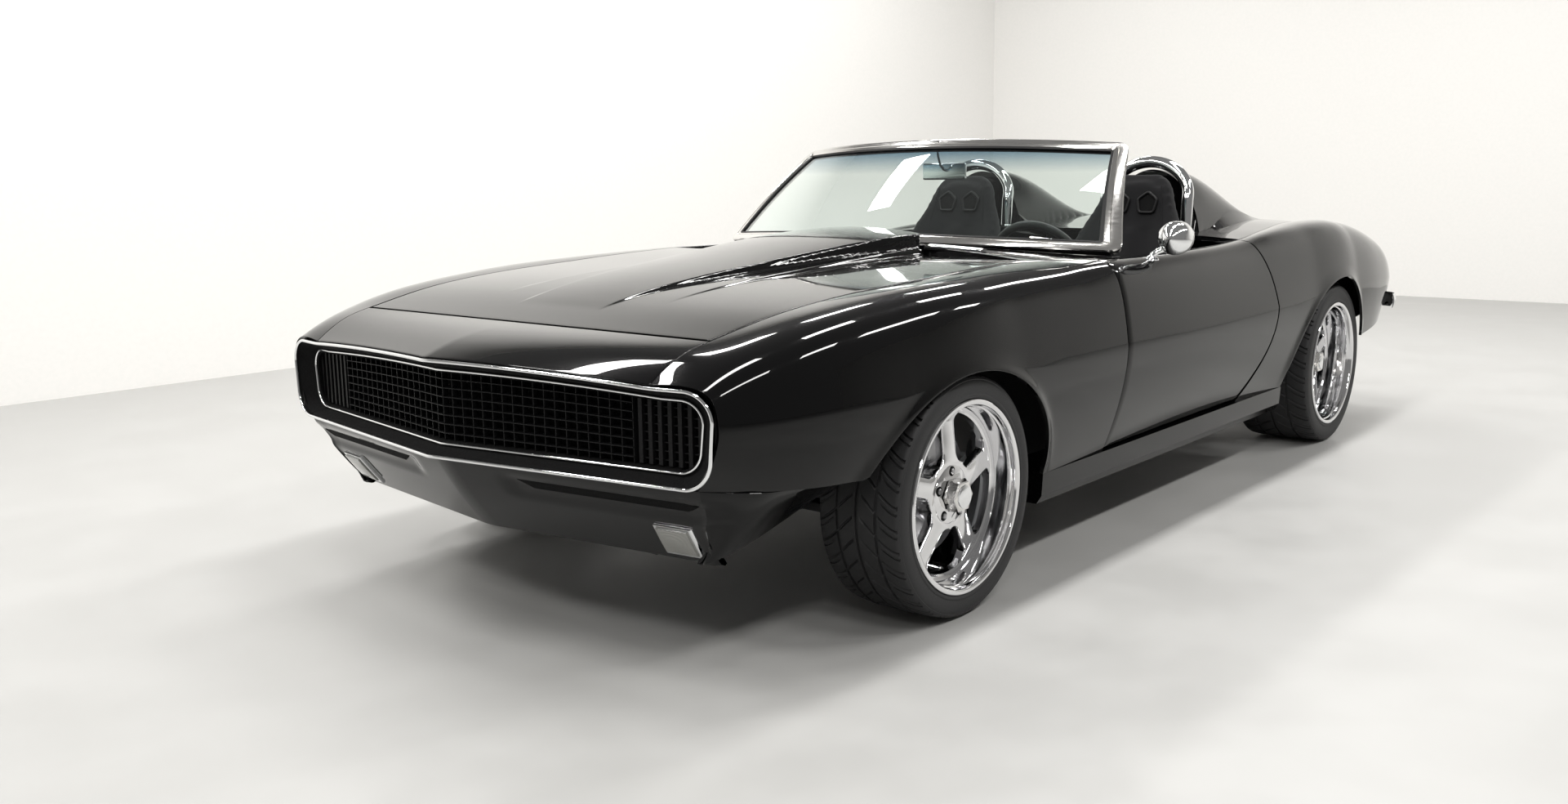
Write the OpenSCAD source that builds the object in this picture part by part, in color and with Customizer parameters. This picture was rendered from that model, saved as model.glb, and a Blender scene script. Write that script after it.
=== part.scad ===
// Open two-seat muscle car with a cowl-induction bonnet, head fairings and five-spoke wheels.
// X points forward, Y to the car's left, Z up. The origin is on the ground, at the middle of the car.

/* [Wheels and axles] */
// Distance between the two axles
wheelbase = 2746; // [2736:1:2752]
// Place of the front axle, forward of the middle of the car
front_axle_x = 1390; // [1385:1:1395]
// Radius of a front tyre, which is also the height of the front axle
front_tyre_r = 310; // [304:1:311]
// Radius of a rear tyre, which is also the height of the rear axle
rear_tyre_r = 320; // [314:1:324]
// Width of a front tyre
front_tyre_w = 245; // [225:1:250]
// Width of a rear tyre
rear_tyre_w = 295; // [255:1:305]
// Distance of a tyre's outer side from the middle of the car
tyre_out_y = 897; // [890:1:899]
// Radius of a wheel at its rim lip
rim_r = 246; // [238:1:250]
// Radius of a brake disc
disc_r = 165; // [140:1:175]

/* [Body] */
// Half the width of the body at its widest
body_half_w = 918; // [910:1:922]
// Foremost point of the nose
nose_x = 2340; // [2335:1:2350]
// Height of the bonnet's scoop over the bonnet, at its rear edge
scoop_h = 78; // [70:1:80]
// Thickness of the wings, quarters and covers
panel_t = 12; // [8:1:14]
// Gap around a door, the bonnet and the boot lid
panel_gap = 8; // [7:1:9]
// Height of the sill's top
sill_z = 280; // [274:1:284]
// Height of the head fairings over the deck, at their front
fairing_h = 225; // [200:1:240]

/* [Cabin] */
// Height of the top of the windshield glass at its middle
glass_top_z = 1198; // [1180:1:1210]
// Width of a seat
seat_w = 500; // [460:1:520]
// Radius of the tube of a roll hoop
hoop_tube_r = 22; // [18:1:25]
// Radius of the steering wheel
steer_r = 172; // [160:1:185]

/* [Hidden] */

rear_axle_x = front_axle_x - wheelbase;
fit = 0.3;         // clearance between two pieces that meet
gap2 = panel_gap / 2;

// ---- curves along the car, as [x, value] pairs with a smooth line through them ----
// Line where the bonnet, cabin, cover and boot lid meet the wings and quarters: half width
gap_y_line = [[-2330, 600], [-2200, 622], [-1700, 640], [-1300, 690], [-900, 745], [-560, 778],
    [420, 782], [565, 781], [680, 745], [800, 705], [1230, 690], [1810, 672], [2053, 655], [2233, 640]];
// the same line: height
gap_z_line = [[-2330, 742], [-2200, 772], [-2000, 820], [-1700, 868], [-1300, 884], [-900, 870],
    [-560, 850], [0, 842], [500, 847], [800, 855], [1230, 841], [1810, 802], [2053, 757],
    [2130, 739], [2190, 711], [2233, 680]];
// Rise of the middle of the body over that line
rise_line = [[-2330, 8], [-2200, 14], [-1700, 20], [-1200, 16], [-600, 12], [300, 20], [600, 34],
    [800, 25], [1230, 14], [1810, 6], [2053, 0], [2233, 0]];
// Sharp corner that the rounded shoulder of the body is drawn into: half width and height
shoulder_y_line = [[-2330, 790], [-2200, 842], [-1900, 872], [-1500, 886], [-1100, 880],
    [-700, 868], [-300, 872], [500, 888], [1390, 886], [1700, 880], [1900, 868], [2050, 846],
    [2150, 824], [2233, 800]];
shoulder_z_line = [[-2330, 655], [-2250, 705], [-2130, 775], [-1874, 856], [-1517, 912],
    [-1171, 912], [-742, 888], [-533, 860], [0, 850], [572, 853], [1144, 859], [1487, 847],
    [1788, 816], [1938, 790], [2087, 744], [2160, 714], [2233, 680]];
// Widest line of the body side, under its full half width, and its height
widest_in_line = [[-2330, 112], [-2200, 62], [-1900, 18], [-1500, 0], [-1100, 0], [-700, 2],
    [-300, 5], [300, 5], [900, 3], [1390, 2], [1700, 12], [1900, 28], [2050, 56], [2150, 86],
    [2233, 118]];
widest_z_line = [[-2330, 600], [-1900, 625], [-1000, 615], [0, 600], [1390, 600], [2000, 600],
    [2233, 590]];
// Lower edge of the body side away from the wheels: half width and height
low_y_line = [[-2330, 770], [-2000, 872], [-1700, 900], [-1356, 905], [-900, 850], [900, 850], [1390, 870],
    [1900, 850], [2050, 815], [2150, 780], [2233, 748]];
low_z_front_line = [[1390, 420], [1800, 425], [2050, 442], [2233, 468]];
low_z_rear_line = [[-2330, 470], [-2000, 430], [-1700, 405], [-1356, 400]];

// Half-ellipses of the wheel openings: top height, centre height and half lengths
front_arch = [628, 245, 440, 440];
rear_arch = [672, 300, 470, 312];

// ---- small helpers ----
function mix(a, b, s) = a + (b - a) * s;
function clamp(s) = max(0, min(1, s));
function ease(s) = let (c = clamp(s)) c * c * (3 - 2 * c);
function knot(x, t, i = 0) = (i >= len(t) - 2 || x < t[i + 1][0]) ? i : knot(x, t, i + 1);
function chord(t, i) = (t[i + 1][1] - t[i][1]) / (t[i + 1][0] - t[i][0]);
function slope(t, i) =
    i == 0 ? chord(t, 0) :
    i == len(t) - 1 ? chord(t, i - 1) :
    (chord(t, i - 1) + chord(t, i)) / 2;
// Height at x of the smooth line through the pairs of a table
function curve(x, t) = let (
    i = knot(x, t),
    h = t[i + 1][0] - t[i][0],
    s = clamp((x - t[i][0]) / h),
    a = t[i][1],
    b = t[i + 1][1]
) a * (1 + 2 * s) * pow(1 - s, 2) + slope(t, i) * h * s * pow(1 - s, 2)
    + b * s * s * (3 - 2 * s) - slope(t, i + 1) * h * s * s * (1 - s);
function bezier(a, b, c, d, s) =
    a * pow(1 - s, 3) + 3 * b * s * pow(1 - s, 2) + 3 * c * s * s * (1 - s) + d * pow(s, 3);
function flat(rows) = [for (row = rows) for (p = row) p];
function steps(a, b, n) = [for (i = [0:n]) mix(a, b, i / n)];

// Closed shell between two grids of points of the same size
module skin(outer, inner) {
    m = len(outer);
    n = len(outer[0]);
    c = m * n;
    rim = concat([for (j = [0:n - 1]) j], [for (i = [1:m - 1]) i * n + n - 1],
        [for (j = [n - 2:-1:0]) (m - 1) * n + j], [for (i = [m - 2:-1:1]) i * n]);
    faces = concat(
        [for (i = [0:m - 2], j = [0:n - 2]) [i * n + j, i * n + j + 1, (i + 1) * n + j + 1]],
        [for (i = [0:m - 2], j = [0:n - 2]) [i * n + j, (i + 1) * n + j + 1, (i + 1) * n + j]],
        [for (i = [0:m - 2], j = [0:n - 2])
            [c + i * n + j, c + (i + 1) * n + j + 1, c + i * n + j + 1]],
        [for (i = [0:m - 2], j = [0:n - 2])
            [c + i * n + j, c + (i + 1) * n + j, c + (i + 1) * n + j + 1]],
        [for (k = [0:len(rim) - 1]) let (p = rim[k], q = rim[(k + 1) % len(rim)]) [q, p, c + p]],
        [for (k = [0:len(rim) - 1]) let (p = rim[k], q = rim[(k + 1) % len(rim)])
            [q, c + p, c + q]]);
    polyhedron(points = concat(flat(outer), flat(inner)), faces = faces);
}

// Round bar that follows a path; a closed path returns to its first point
function unit(v) = v / norm(v);
module bar(path, r, n = 8, closed = false, up = [0, 0, 1]) {
    m = len(path);
    rings = [for (i = [0:m - 1]) let (
        before = closed ? path[(i + m - 1) % m] : path[max(0, i - 1)],
        after = closed ? path[(i + 1) % m] : path[min(m - 1, i + 1)],
        t = unit(after - before),
        side = unit(cross(t, up)),
        top = cross(side, t)
    ) [for (k = [0:n - 1]) path[i] + r * (cos(360 * k / n) * side + sin(360 * k / n) * top)]];
    last = closed ? m - 1 : m - 2;
    walls = [for (i = [0:last], k = [0:n - 1]) let (a = i * n, b = ((i + 1) % m) * n, l = (k + 1) % n)
        [a + k, a + l, b + l, b + k]];
    tris = flat([for (w = walls) [[w[0], w[1], w[2]], [w[0], w[2], w[3]]]]);
    ends = closed ? [] : [[for (k = [n - 1:-1:0]) k], [for (k = [0:n - 1]) (m - 1) * n + k]];
    polyhedron(points = flat(rings), faces = concat([for (f = tris) [f[0], f[2], f[1]]],
        [for (e = ends) [for (k = [len(e) - 1:-1:0]) e[k]]]));
}

// Side profile given as [x, z] points, drawn w wide about y
module profile(points, y, w) {
    translate([0, y + w / 2, 0]) rotate([90, 0, 0]) linear_extrude(w) polygon(points);
}

module block(x0, x1, y0, y1, z0, z1) {
    translate([x0, y0, z0]) cube([x1 - x0, y1 - y0, z1 - z0]);
}

module both_sides() {
    children();
    mirror([0, 1, 0]) children();
}

// ---- the body's skin ----
function arch_z(x, cx, a) = let (d = (x - cx) / (x > cx ? a[2] : a[3]))
    abs(d) < 1 ? a[1] + (a[0] - a[1]) * sqrt(1 - d * d) : 0;
function low_z(x) =
    x > front_axle_x ? curve(x, low_z_front_line) :
    x < rear_axle_x ? curve(x, low_z_rear_line) : sill_z;
function bottom_z(x) =
    max(low_z(x), arch_z(x, front_axle_x, front_arch), arch_z(x, rear_axle_x, rear_arch));
// Point [y, z] of the body side at x: t runs from the top line over the shoulder (0 to 1)
// to the widest line, and from there down to the lower edge (1 to 2)
function side_point(x, t) = let (
    g = [curve(x, gap_y_line), curve(x, gap_z_line)],
    k = [curve(x, shoulder_y_line), curve(x, shoulder_z_line)],
    zb = bottom_z(x),
    wy = body_half_w - curve(x, widest_in_line),
    wz = max(curve(x, widest_z_line), zb + 15),
    w = [wy, wz],
    z = mix(wz, zb, t - 1),
    tuck = pow(clamp((wz - z) / (wz - low_z(x))), 1.7)
) t <= 1 ? bezier(g, g + (k - g) * 0.85, w + (k - w) * 0.85, w, t)
    : [wy - (wy - curve(x, low_y_line)) * tuck, z];
// The same point, pushed inward by d
function side_inner(x, t, d) = let (
    e = 0.01,
    p = side_point(x, t),
    q = side_point(x, min(2, t + e)) - side_point(x, max(0, t - e)),
    n = unit([q[1], -q[0]])
) t <= 0 ? [p[0], p[1] - d] : t >= 2 ? [p[0] - d, p[1]] : p + n * d;

side_rows = [0, 0.14, 0.28, 0.4, 0.5, 0.6, 0.72, 0.86, 1, 1.2, 1.45, 1.72, 2];
door_front_line = [[280, 563], [560, 556], [834, 572]];
door_rear_line = [[280, -480], [346, -540], [460, -622], [570, -653], [700, -630], [850, -550]];
function door_front_x(z) = curve(z, door_front_line);
function door_rear_x(z) = curve(z, door_rear_line);
function side_z_near(x, t) = side_point(x, t)[1];

// Height of the body's top between the two top lines
function top_z(x, y) = let (u = y / curve(x, gap_y_line))
    curve(x, gap_z_line) + curve(x, rise_line) * (1 - u * u);
// The bonnet is flatter across than the cowl behind it
bonnet_rise_line = [[600, 4], [1230, 6], [1810, 6], [2053, 0]];
function bonnet_top_z(x, y) = let (u = y / curve(x, gap_y_line))
    curve(x, gap_z_line) + curve(x, bonnet_rise_line) * (1 - u * u);

// ---- wings and quarters ----
arch_angles = [for (a = [172:-11.5:30]) a];
wing_x = concat([560, 620, 700, 780, 860, 920], [for (a = arch_angles) front_axle_x
    + front_arch[2] * cos(a)], [1800, 1860, 1930, 2000, 2060, 2110, 2160, 2200, 2233]);
function wing_stations(t) = let (
    z = side_z_near(560, t),
    shift = door_front_x(z) + gap2 - 560,
    front = nose_front_x(side_point(wing_x[len(wing_x) - 1], t)[0]) - nose_seam_x
) [for (x = wing_x) x + shift * clamp(1 - (x - 560) / 200) + front * clamp((x - 2000) / 233)];

module wing() {
    cols = [for (t = side_rows) wing_stations(t)];
    outer = [for (i = [0:len(wing_x) - 1]) [for (j = [0:len(side_rows) - 1])
        let (x = cols[j][i], p = side_point(x, side_rows[j])) [x, p[0], p[1]]]];
    inner = [for (i = [0:len(wing_x) - 1]) [for (j = [0:len(side_rows) - 1])
        let (x = cols[j][i], p = side_inner(x, side_rows[j], panel_t)) [x, p[0], p[1]]]];
    skin(outer, inner);
}
module wing_left() { color("#16171a") wing(); }
module wing_right() { color("#16171a") mirror([0, 1, 0]) wing(); }

cabin_wall_y = 778;       // inner face of the doors and of the quarters beside the seats
quarter_end_x = -2290;
quarter_x = concat([quarter_end_x, -2240, -2180, -2100, -2000, -1900, -1800, -1720],
    [for (a = [17:14.6:90]) rear_axle_x - rear_arch[3] * cos(a)],
    [for (a = [80:-11:3]) rear_axle_x + rear_arch[2] * cos(a)],
    [-872, -800, -720, -640, -560]);
function quarter_stations(t) = let (
    z = side_z_near(-560, t),
    shift = door_rear_x(z) - gap2 + 560
) [for (x = quarter_x) x + shift * clamp((x + 860) / 300)];
module quarter() {
    cols = [for (t = side_rows) quarter_stations(t)];
    outer = [for (i = [0:len(quarter_x) - 1]) [for (j = [0:len(side_rows) - 1])
        let (x = cols[j][i], p = side_point(x, side_rows[j])) [x, p[0], p[1]]]];
    inner = [for (i = [0:len(quarter_x) - 1]) [for (j = [0:len(side_rows) - 1])
        let (x = cols[j][i], t = side_rows[j], p = side_inner(x, t, panel_t),
            thick = clamp((quarter_x[i] + 860) / 60))
        [x, mix(p[0], min(p[0], cabin_wall_y + 4 * (t > 0 ? 0 : 1)), thick), p[1]]]];
    skin(outer, inner);
}
module quarter_left() { color("#16171a") quarter(); }
module quarter_right() { color("#16171a") mirror([0, 1, 0]) quarter(); }

// ---- doors ----
door_rows = side_rows;
door_low_z = sill_z + panel_gap;
function door_point(x, t) = let (p = side_point(x, t))
    t > 1 ? [p[0], mix(side_point(x, 1)[1], door_low_z, t - 1)] : p;
door_hinge_x = 546;
door_hinge_y = 907;
door_parts = 12;
door_rear_bevel = 20;
module door() {
    rows = [for (t = door_rows) [door_front_x(side_z_near(560, t)) - gap2,
        door_rear_x(side_z_near(-560, t)) + gap2]];
    outer = [for (i = [0:door_parts]) [for (j = [0:len(door_rows) - 1]) let (
        u = i / door_parts,
        x = mix(rows[j][0], rows[j][1], u),
        p = door_point(x, door_rows[j]),
        tuck = i == 0 ? 5 : 0
    ) [x, p[0] - tuck, p[1]]]];
    inner = [for (i = [0:door_parts]) [for (j = [0:len(door_rows) - 1]) let (
        u = i / door_parts,
        x = mix(rows[j][0], rows[j][1] + door_rear_bevel, u),
        p = door_point(x, door_rows[j])
    ) [x, cabin_wall_y, p[1] - (door_rows[j] < 0.3 ? 4 : 0)]]];
    skin(outer, inner);
}
module door_left() { color("#16171a") door(); }
module door_right() { color("#16171a") mirror([0, 1, 0]) door(); }

mirror_head = [255, 908, 899];
// Height of the body's shoulder at x, y
function shoulder_z(x, y) = lookup(y, [for (t = [0:0.02:0.6]) side_point(x, t)]);
mirror_foot = [314, 846, shoulder_z(314, 826) - 0.7];
mirror_r = 52;
module door_mirror() {
    color("silver") {
        translate(mirror_head) rotate([0, 90, 12]) rotate_extrude($fn = 48)
            polygon(concat([[0, -38], [mirror_r - 4, -38], [mirror_r, -34]],
                [for (a = [0:10:90]) [mirror_r * cos(a), -10 + 76 * sin(a)]]));
        hull() {
            translate(mirror_head + [12, -22, -30]) sphere(r = 9, $fn = 16);
            translate(mirror_foot + [0, 0, 12]) sphere(r = 9, $fn = 16);
        }
        translate(mirror_foot) cylinder(r = 20, h = 12, $fn = 32);
    }
}

// ---- nose ----
nose_v = 107;             // how far the middle of the nose leads its ends
nose_seam_x = 2233;
bonnet_front_x = 2053;
function nose_point(u, v) = let (
    xs = mix(bonnet_front_x + panel_gap + 1, nose_seam_x, v),
    yg = curve(xs, gap_y_line) - fit
) [xs + (nose_x - nose_seam_x) * (1 - abs(u)) * v, u * yg,
    curve(xs, gap_z_line) + 20 * v * (1 - u * u)];
nose_u = steps(-1, 1, 16);
nose_vs = steps(0, 1, 8);
module nose_panel() {
    color("#16171a") skin(
        [for (v = nose_vs) [for (u = nose_u) nose_point(u, v)]],
        [for (v = nose_vs) [for (u = nose_u) nose_point(u, v) - [v * 6, 0, panel_t]]]);
}

// ---- bonnet, with the raised scoop ----
bonnet_rear_side_x = 800;
bonnet_rear_step_x = 715;
bonnet_rear_mid_x = 655;
// The rear edge: straight behind the scoop, further forward beside it
function bonnet_rear_x(u) = let (a = abs(u))
    mix(bonnet_rear_mid_x, bonnet_rear_step_x, ease((a - 0.34) / 0.07))
    + (bonnet_rear_side_x - bonnet_rear_step_x) * pow(clamp((a - 0.41) / 0.59), 1.5);
// Height of the scoop over the bonnet: a high middle and a lower step on each side
function scoop(x, y) = let (
    s = clamp((1925 - x) / (1925 - bonnet_rear_mid_x)),
    edge = mix(147, 255, s),
    step_s = clamp((1840 - x) / (1840 - bonnet_rear_mid_x)),
    step_edge = mix(300, 290, step_s)
) scoop_h * (0.58 * s * (1 - ease((abs(y) - edge) / 22))
    + 0.22 * s * max(0, 1 - pow(y / edge, 2))
    + 0.2 * step_s * (1 - ease((abs(y) - step_edge) / 22)));
bonnet_u = [-1, -0.86, -0.7, -0.56, -0.5, -0.47, -0.44, -0.41, -0.38, -0.35, -0.32, -0.29, -0.26,
    -0.23, -0.2, -0.1];
bonnet_us = concat(bonnet_u, [0], [for (i = [len(bonnet_u) - 1:-1:0]) -bonnet_u[i]]);
bonnet_vs = steps(0, 1, 20);
function bonnet_point(u, v) = let (
    x = mix(bonnet_front_x, bonnet_rear_x(u), v),
    y = u * (curve(max(x, bonnet_rear_side_x), gap_y_line) - 6)
) [x, y, bonnet_top_z(x, y) + scoop(x, y)];
bonnet_t = 26;
module bonnet() {
    color("#16171a") skin(
        [for (v = bonnet_vs) [for (u = bonnet_us) bonnet_point(u, 1 - v)]],
        [for (v = bonnet_vs) [for (u = bonnet_us) let (p = bonnet_point(u, 1 - v))
            [min(p[0], bonnet_front_x - 14), p[1], p[2] - bonnet_t]]]);
}
bonnet_hinge = [bonnet_rear_mid_x + 3, 0, 908];

// ---- cowl, between the bonnet and the windshield ----
cowl_low_z = 826;
glass_base_mid = [628, 0, 889];
glass_base_end = [392, 772, 866];
function glass_base_x(y) =
    glass_base_mid[0] - (glass_base_mid[0] - glass_base_end[0]) * pow(abs(y) / glass_base_end[1], 2.2);
function cowl_point(u, v) = let (
    y0 = u * (cabin_wall_y - 4),
    x = mix(bonnet_rear_x(u) - panel_gap, glass_base_x(y0) - 45, v),
    y = u * (min(curve(x, gap_y_line), cabin_wall_y - 3) - 1.5)
) [x, y, top_z(x, y)];
cowl_us = steps(-1, 1, 24);
cowl_vs = steps(0, 1, 7);
module cowl() {
    color("#16171a") skin(
        [for (v = cowl_vs) [for (u = cowl_us) cowl_point(u, 1 - v)]],
        [for (v = cowl_vs) [for (u = cowl_us) let (p = cowl_point(u, 1 - v)) [p[0], p[1], cowl_low_z]]]);
}

// ---- windshield ----
glass_top_end = [76, 640, glass_top_z - 22];
glass_top_mid_x = 202;
// Point of the glass surface: u across (-1 to 1), v from the base (0) to the top (1)
function glass_point(u, v) = let (
    y0 = u * glass_base_end[1],
    y1 = u * glass_top_end[1],
    b = [glass_base_x(y0), y0, mix(glass_base_mid[2], glass_base_end[2], u * u)],
    t = [glass_top_mid_x - (glass_top_mid_x - glass_top_end[0]) * pow(abs(u), 2.2), y1,
        mix(glass_top_z, glass_top_end[2], u * u)]
) mix(b, t, v) + [14, 0, 8] * 4 * v * (1 - v);
function glass_normal(u, v) = let (
    e = 0.01,
    du = glass_point(u + e, v) - glass_point(u - e, v),
    dv = glass_point(u, v + e) - glass_point(u, v - e)
) unit(cross(dv, -du));
// Outline of the glass, and the frame's outer edge, as [u, v] with rounded corners
function loop_uv(du, dv, c, n) = let (
    a = 1 - du,
    q = [[a, dv], [a, 1 - dv], [-a, 1 - dv], [-a, dv]]
) concat(
    [for (k = [0:n - 1]) [mix(-a + c, a - c, k / n), dv]],
    [for (s = [-90:30:0]) [a - c + c * cos(s), dv + c * (1 + sin(s)) * 1.6]],
    [for (k = [1:6]) [a, mix(dv + 1.6 * c, 1 - dv - 1.6 * c, k / 7)]],
    [for (s = [0:30:90]) [a - c + c * cos(s), 1 - dv + c * 1.6 * (sin(s) - 1)]],
    [for (k = [1:n - 1]) [mix(a - c, -a + c, k / n), 1 - dv]],
    [for (s = [90:30:180]) [-a + c + c * cos(s), 1 - dv + c * 1.6 * (sin(s) - 1)]],
    [for (k = [1:6]) [-a, mix(1 - dv - 1.6 * c, dv + 1.6 * c, k / 7)]],
    [for (s = [180:30:240]) [-a + c + c * cos(s), dv + c * 1.6 * (1 + sin(s))]]);
glass_loop = loop_uv(0.035, 0.05, 0.008, 12);
frame_loop = loop_uv(-0.03, -0.03, 0.045, 12);
module windshield_glass() {
    us = steps(-1, 1, 16);
    vs = steps(0, 1, 6);
    color([0.8, 0.92, 0.88, 0.4]) skin(
        [for (v = vs) [for (u = us) let (q = [u * 0.962, mix(0.0535, 0.9465, v)])
            glass_point(q[0], q[1]) + 3 * glass_normal(q[0], q[1])]],
        [for (v = vs) [for (u = us) let (q = [u * 0.962, mix(0.0535, 0.9465, v)])
            glass_point(q[0], q[1]) - 3 * glass_normal(q[0], q[1])]]);
}
function frame_ring(k) = let (
    g = glass_loop[k],
    f = frame_loop[k],
    pg = glass_point(g[0], g[1]),
    pf = glass_point(f[0], f[1]),
    n = glass_normal(g[0], g[1])
) [for (p = [pg + 9 * n, pf + 13 * n, pf - 15 * n, pg - 15 * n])
    [p[0], p[1], max(p[2], top_z(p[0], min(abs(p[1]), cabin_wall_y - 4)) + 0.6)]];
module windshield_frame() {
    m = len(glass_loop);
    rings = [for (k = [0:m - 1]) frame_ring(k)];
    walls = [for (i = [0:m - 1], k = [0:3]) let (a = i * 4, b = ((i + 1) % m) * 4, l = (k + 1) % 4)
        [[a + k, b + l, a + l], [a + k, b + k, b + l]]];
    color("silver") polyhedron(points = flat(rings), faces = flat(walls));
}

// ---- interior mirror, on a stem from the windshield's header ----
module interior_mirror() {
    color("silver") {
        block(118, 132, -118, 118, 1078, 1132);
        block(131, 192, -9, 9, 1100, 1112);
        block(184, 196, -11, 11, 1100, glass_top_z - 15);
    }
}

// ---- grille ----
grille_top_z = 672;
grille_low_z = 466.4;
grille_half_w = 752;
grille_set_back = 52;
function nose_front_x(y) = nose_x - nose_v * abs(y) / 640;
module grille() {
    bars = [for (z = steps(grille_low_z + 22, grille_top_z - 22, 5)) z];
    color("#0b0b0c") {
        for (side = [-1, 1]) {
            linear_extrude_between(grille_low_z, grille_top_z)
                polygon([for (p = [[0, 0], [grille_half_w, 1], [grille_half_w, 2], [0, 3]])
                    [nose_front_x(p[0]) - grille_set_back - (p[1] > 1 ? 16 : 0), side * p[0]]]);
            for (z = bars)
                linear_extrude_between(z - 2, z + 2)
                    polygon([for (p = [[0, 0], [grille_half_w, 1], [grille_half_w, 2], [0, 3]])
                        [nose_front_x(p[0]) - grille_set_back + (p[1] > 1 ? -1 : 16), side * p[0]]]);
        }
    }
}
module linear_extrude_between(z0, z1) { translate([0, 0, z0]) linear_extrude(z1 - z0) children(); }

// Bright loops round the whole opening and round the grille itself
function loop_path(half_w, z0, z1, c, lead) = let (
    n = 5,
    right = concat(
        [for (i = [0:n]) [half_w * i / n - c * i / n, z1]],
        [for (a = [60:-30:0]) [half_w - c + c * cos(a), z1 - c + c * sin(a)]],
        [for (a = [0:-30:-90]) [half_w - c + c * cos(a), z0 + c + c * sin(a)]],
        [for (i = [n - 1:-1:1]) [(half_w - c) * i / n, z0]]),
    left = [for (i = [len(right) - 1:-1:1]) [-right[i][0], right[i][1]]]
) [for (p = concat(right, [[0, z0]], left))
    [nose_front_x(p[0]) + lead, p[0],
        p[1] + 20 * max(0, 1 - pow(p[0] / 640, 2)) * clamp((p[1] - z0) / (z1 - z0))]];
trim_r = 6;
module grille_trim() {
    color("silver") {
        bar(loop_path(797, 466, 674, 70, trim_r + 1.5), trim_r, n = 6, closed = true);
        bar(loop_path(744, 490, 648, 55, trim_r - grille_set_back + 15.6), trim_r - 1, n = 6, closed = true);
    }
}

// ---- front valance under the grille, wrapping back to the wheel openings ----
valance_top_z = 466;
valance_low_z = 262;
valance_back_x = 1812;
// Plan of the valance's top edge: s runs from the middle (0) to the corner (1) and back (1.5)
function valance_plan(s) = let (r = clamp((s - 1) / 0.5)) s <= 1 ?
    [nose_x - 30 - 108 * s, 748 * s] :
    [nose_x - 138 - 60 * sin(min(90, 300 * r)) * 0.4 - (nose_x - 138 - valance_back_x) * pow(r, 1.25),
        748 + 66 * sin(90 * clamp(r * 2.2))];
function valance_point(s, v, d) = let (
    side = s < 0 ? -1 : 1,
    a = abs(s),
    r = clamp((a - 0.9) / 0.25),
    p = valance_plan(a),
    n = [cos(90 * ease(r)), sin(90 * ease(r))],
    back = clamp((a - 1.08) / 0.42),
    z1 = mix(valance_low_z, 398, pow(back, 1.3)),
    z0 = mix(valance_top_z, min(valance_top_z, low_z(p[0]) - 1.4), clamp((a - 0.9) / 0.05)),
    z = mix(z0, z1, v),
    tuck = (mix(133, 40, back)) * pow(v, 1.25) + d
) [p[0] - n[0] * tuck, side * (p[1] - n[1] * tuck), z];
valance_s = concat([for (s = steps(-1.5, -0.8, 14)) s], [-0.6, -0.4, -0.2, 0, 0.2, 0.4, 0.6],
    [for (s = steps(0.8, 1.5, 14)) s]);
module front_valance() {
    vs = steps(0, 1, 6);
    color("#16171a") skin(
        [for (v = vs) [for (s = [for (i = [len(valance_s) - 1:-1:0]) valance_s[i]]) valance_point(s, v, 0)]],
        [for (v = vs) [for (s = [for (i = [len(valance_s) - 1:-1:0]) valance_s[i]])
            valance_point(s, v, abs(s) < 0.7 ? mix(84, 20, clamp(v * 2)) : 20)]]);
}
module park_lamps() {
    color("#cfd6d6") both_sides() skin(
        [for (v = [0.56, 0.73, 0.905]) [for (s = [0.92, 0.86, 0.8]) valance_point(s - 0.05 * v, v, -16)]],
        [for (v = [0.56, 0.73, 0.905]) [for (s = [0.92, 0.86, 0.8]) valance_point(s - 0.05 * v, v, -1.4)]]);
}

// ---- floor, sills, firewall and chassis ----
floor_z = 212;
floor_half_w = 690;
tunnel_half_w = 135;
tunnel_z = 430;
rear_floor_half_w = 575;
sheet = 8;
firewall_x = 600;
kick_x = -900;
axle_floor_z = 480;
boot_floor_z = 400;
boot_front_x = -1640;
module tunnel_slot(x0, x1) {
    block(x0, x1, -tunnel_half_w + sheet, tunnel_half_w - sheet, floor_z - 3, tunnel_z - sheet);
}
module floor_pan() {
    color("#26272a") difference() {
        union() {
            block(kick_x, firewall_x + 24, -floor_half_w, floor_half_w, floor_z, floor_z + sheet);
            block(kick_x - 4, firewall_x + 24, -tunnel_half_w, tunnel_half_w, floor_z + 2, tunnel_z);
            block(kick_x - sheet, kick_x + 1, -floor_half_w, floor_half_w, floor_z - 1, axle_floor_z);
        }
        tunnel_slot(kick_x - sheet - 1, firewall_x + 25);
    }
}
// Floor over the rear axle and in the boot, with the bulkhead behind the cabin
module rear_floor() {
    w = rear_floor_half_w;
    x0 = kick_x - sheet - fit;
    x1 = boot_front_x;
    color("#26272a") {
        block(x1, x0, -w, w, axle_floor_z - sheet, axle_floor_z);
        block(x1 - 1, x1 + sheet, -w + 1, w - 1, boot_floor_z - sheet + 1, 832);
        block(quarter_end_x, x1 + 2, -w, w, boot_floor_z - sheet, boot_floor_z);
        // stops under the front edge of the boot lid, and under the cover
        both_sides() block(x1 - 26, x1 + sheet, 320, 340, 830, top_z(x1 - 26, 340) - boot_lid_t - 0.5);
    }
}
sill_in_y = floor_half_w + fit;
module sills() {
    color("#16171a") both_sides()
        profile2([[sill_in_y, 190], [830, 190], [846, 215], [850, sill_z], [sill_in_y, sill_z]],
            kick_x + 4, front_axle_x - 455);
}
// Outline given as [y, z] points, drawn from x0 to x1
module profile2(points, x0, x1) {
    translate([x0, 0, 0]) rotate([90, 0, 90]) linear_extrude(x1 - x0) polygon(points);
}
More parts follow.
